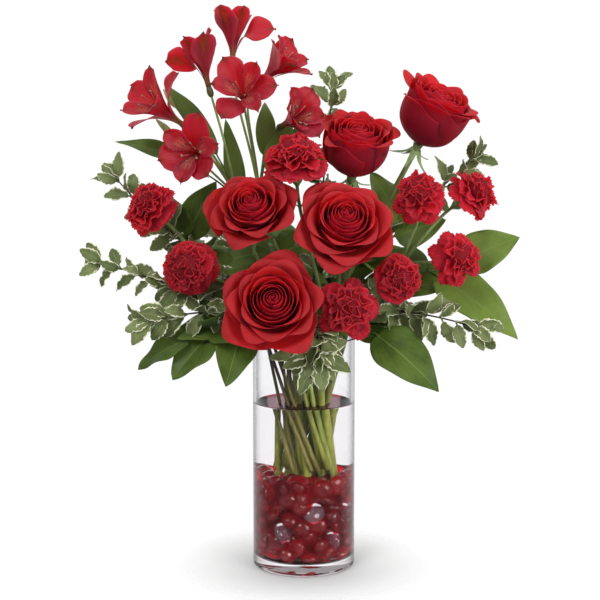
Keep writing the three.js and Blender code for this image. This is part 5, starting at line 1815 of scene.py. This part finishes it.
class BouquetSettings(bpy.types.PropertyGroup):
    """Sizes and colours of the flowers, the greenery and the vase"""

    rose_petals: IntProperty(name="Rose petals", description="Petals in each rose", default=36, min=12, max=60)
    rose_colour: colour_property("Rose", "Colour of a rose petal where it is lit", (0.56, 0.025, 0.031))
    # deep colour: painted shade at the petals' roots, and the colour of their streaks
    rose_deep: colour_property("Rose heart", "Colour deep between the rose petals", (0.35, 0.0115, 0.0145))
    carnation_colour: colour_property("Carnation", "Colour of the outer carnation petals", (0.68, 0.016, 0.036))
    # deep colour: painted shade at the petals' roots, and the colour of their streaks
    carnation_deep: colour_property("Carnation heart", "Colour deep in the ruffles", (0.32, 0.008, 0.014))
    alstroemeria_colour: colour_property("Alstroemeria", "Colour along the middle of a tepal", (0.3, 0.0105, 0.024))
    alstroemeria_margin: colour_property("Alstroemeria margin", "Paler colour at a tepal's edge", (0.43, 0.042, 0.08))
    leaf_dark: colour_property("Dark leaf", "Darkest lemon leaf", (0.045, 0.084, 0.011))
    leaf_light: colour_property("Light leaf", "Lightest lemon leaf", (0.19, 0.28, 0.045))
    cream_colour: colour_property("Cream edge", "Edge of the variegated leaves", (0.84, 0.84, 0.6))
    glass_colour: colour_property("Glass", "Tint of the vase's glass", (0.97, 0.965, 0.975))
    # the base's tint is darker and pinker than clear glass: painted shade and a painted reflection of the red pebbles
    glass_base: colour_property("Glass base", "Tint of the thick glass under the pebbles", (0.62, 0.57, 0.585))
    # darker tint painted where the glass is seen edge on: painted shade
    glass_edge_shade: colour_property("Glass edge", "Tint of the glass where it is seen edge on", (0.12, 0.12, 0.125))
    water_colour: colour_property("Water", "Tint of the water", (0.99, 0.975, 0.98))
    # dark mauve painted on the water's surface: a painted reflection of the red pebbles, and painted shade
    film_painted_reflection: colour_property("Water surface", "Tint of the water's surface", (0.075, 0.026, 0.034))
    pebble_colour: colour_property("Pebble", "Colour of the brightest glass pebbles", (0.85, 0.012, 0.03))
    pebble_deep: colour_property("Deep pebble", "Colour of the darkest glass pebbles", (0.4, 0.01, 0.018))
    # pale colour painted on a few pebbles as a reflection of the light above
    pebble_painted_reflection: colour_property("Pale pebble", "Colour of the pebbles that catch the light", (0.62, 0.4, 0.48))
    pebble_width: FloatProperty(
        name="Pebble width", description="Width of a flat pebble", default=0.021, min=0.01, max=0.03, unit="LENGTH"
    )
    sky_strength: FloatProperty(name="Studio", description="Strength of the even light", default=1.02, min=0, max=3)


# ---------- operators ----------
class FLOWERS_OT_vase(bpy.types.Operator):
    """Blow the clear glass cylinder"""

    bl_idname = "flowers.vase"
    bl_label = "Vase"

    def execute(self, context):
        make_vase()
        return {"FINISHED"}


class FLOWERS_OT_water(bpy.types.Operator):
    """Fill the vase with water"""

    bl_idname = "flowers.water"
    bl_label = "Water"

    def execute(self, context):
        make_water()
        return {"FINISHED"}


class FLOWERS_OT_pebbles(bpy.types.Operator):
    """Heap the red glass pebbles in the foot of the vase"""

    bl_idname = "flowers.pebbles"
    bl_label = "Glass Pebbles"

    def execute(self, context):
        make_pebbles()
        return {"FINISHED"}


class FLOWERS_OT_roses(bpy.types.Operator):
    """Grow the rose blooms, petal by petal"""

    bl_idname = "flowers.roses"
    bl_label = "Roses"

    def execute(self, context):
        for name in ROSES:
            make_rose(name)
        return {"FINISHED"}


class FLOWERS_OT_rose_stems(bpy.types.Operator):
    """Grow the rose stems with their hips and sepals"""

    bl_idname = "flowers.rose_stems"
    bl_label = "Rose Stems"

    def execute(self, context):
        for name in ROSES:
            make_rose_stem(name)
        return {"FINISHED"}


class FLOWERS_OT_carnations(bpy.types.Operator):
    """Grow the ruffled carnation blooms"""

    bl_idname = "flowers.carnations"
    bl_label = "Carnations"

    def execute(self, context):
        for name in CARNATIONS:
            make_carnation(name)
        return {"FINISHED"}


class FLOWERS_OT_carnation_stems(bpy.types.Operator):
    """Grow the forked carnation stems with their calyxes"""

    bl_idname = "flowers.carnation_stems"
    bl_label = "Carnation Stems"

    def execute(self, context):
        for name in CARNATION_SPRAYS:
            make_carnation_stem(name)
        return {"FINISHED"}


class FLOWERS_OT_alstroemerias(bpy.types.Operator):
    """Grow the alstroemeria flowers"""

    bl_idname = "flowers.alstroemerias"
    bl_label = "Alstroemerias"

    def execute(self, context):
        for name in ALSTROEMERIAS:
            make_alstroemeria(name)
        return {"FINISHED"}


class FLOWERS_OT_alstroemeria_stems(bpy.types.Operator):
    """Grow the alstroemeria stems with their buds and leaves"""

    bl_idname = "flowers.alstroemeria_stems"
    bl_label = "Alstroemeria Stems"

    def execute(self, context):
        for name in ALSTROEMERIA_STEMS:
            make_alstroemeria_stem(name)
        return {"FINISHED"}


class FLOWERS_OT_lemon_leaf(bpy.types.Operator):
    """Grow the lemon leaf branches"""

    bl_idname = "flowers.lemon_leaf"
    bl_label = "Lemon Leaf"

    def execute(self, context):
        note_taken_space()
        for name in LEMON_BRANCHES:
            make_lemon_branch(name)
        return {"FINISHED"}


class FLOWERS_OT_pittosporum(bpy.types.Operator):
    """Grow the variegated pittosporum branches between the flowers"""

    bl_idname = "flowers.pittosporum"
    bl_label = "Pittosporum"

    def execute(self, context):
        note_taken_space()
        for name in PITTOSPORUM_BRANCHES:
            make_pittosporum_branch(name)
        return {"FINISHED"}


class FLOWERS_OT_stage(bpy.types.Operator):
    """Set up the floor, the studio light and the camera"""

    bl_idname = "flowers.stage"
    bl_label = "Stage"

    def execute(self, context):
        make_floor()
        make_world()
        for name, lamp in LAMPS.items():
            make_lamp(name, **lamp)
        make_camera()
        context.scene.view_settings.view_transform = "Standard"
        return {"FINISHED"}


OPERATORS = [
    FLOWERS_OT_vase,
    FLOWERS_OT_water,
    FLOWERS_OT_pebbles,
    FLOWERS_OT_roses,
    FLOWERS_OT_rose_stems,
    FLOWERS_OT_carnations,
    FLOWERS_OT_carnation_stems,
    FLOWERS_OT_alstroemerias,
    FLOWERS_OT_alstroemeria_stems,
    FLOWERS_OT_lemon_leaf,
    FLOWERS_OT_pittosporum,
    FLOWERS_OT_stage,
]


class FLOWERS_PT_panel(bpy.types.Panel):
    """Lists the parts of the arrangement"""

    bl_idname = "FLOWERS_PT_panel"
    bl_label = "Cut Flowers"
    bl_space_type = "VIEW_3D"
    bl_region_type = "UI"
    bl_category = "Flowers"

    def draw(self, context):
        bouquet = context.scene.bouquet
        for name in BouquetSettings.__annotations__:
            self.layout.prop(bouquet, name)
        for operator in OPERATORS:
            self.layout.operator(operator.bl_idname)


CLASSES = [BouquetSettings, *OPERATORS, FLOWERS_PT_panel]


def register():
    for cls in CLASSES:
        bpy.utils.register_class(cls)
    bpy.types.Scene.bouquet = PointerProperty(type=BouquetSettings)


def unregister():
    del bpy.types.Scene.bouquet
    for cls in reversed(CLASSES):
        bpy.utils.unregister_class(cls)


def plain(box):
    """The corners of a box as plain lists, in metres."""
    return [[round(float(c), 6) for c in corner] for corner in box]


def main():
    """Builds everything."""
    register()
    for operator in OPERATORS:
        kind, name = operator.bl_idname.split(".")
        getattr(getattr(bpy.ops, kind), name)()
    {"cad": plain(CAD_BOX), "visual": plain(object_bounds())}


if __name__ == "__main__":
    main()
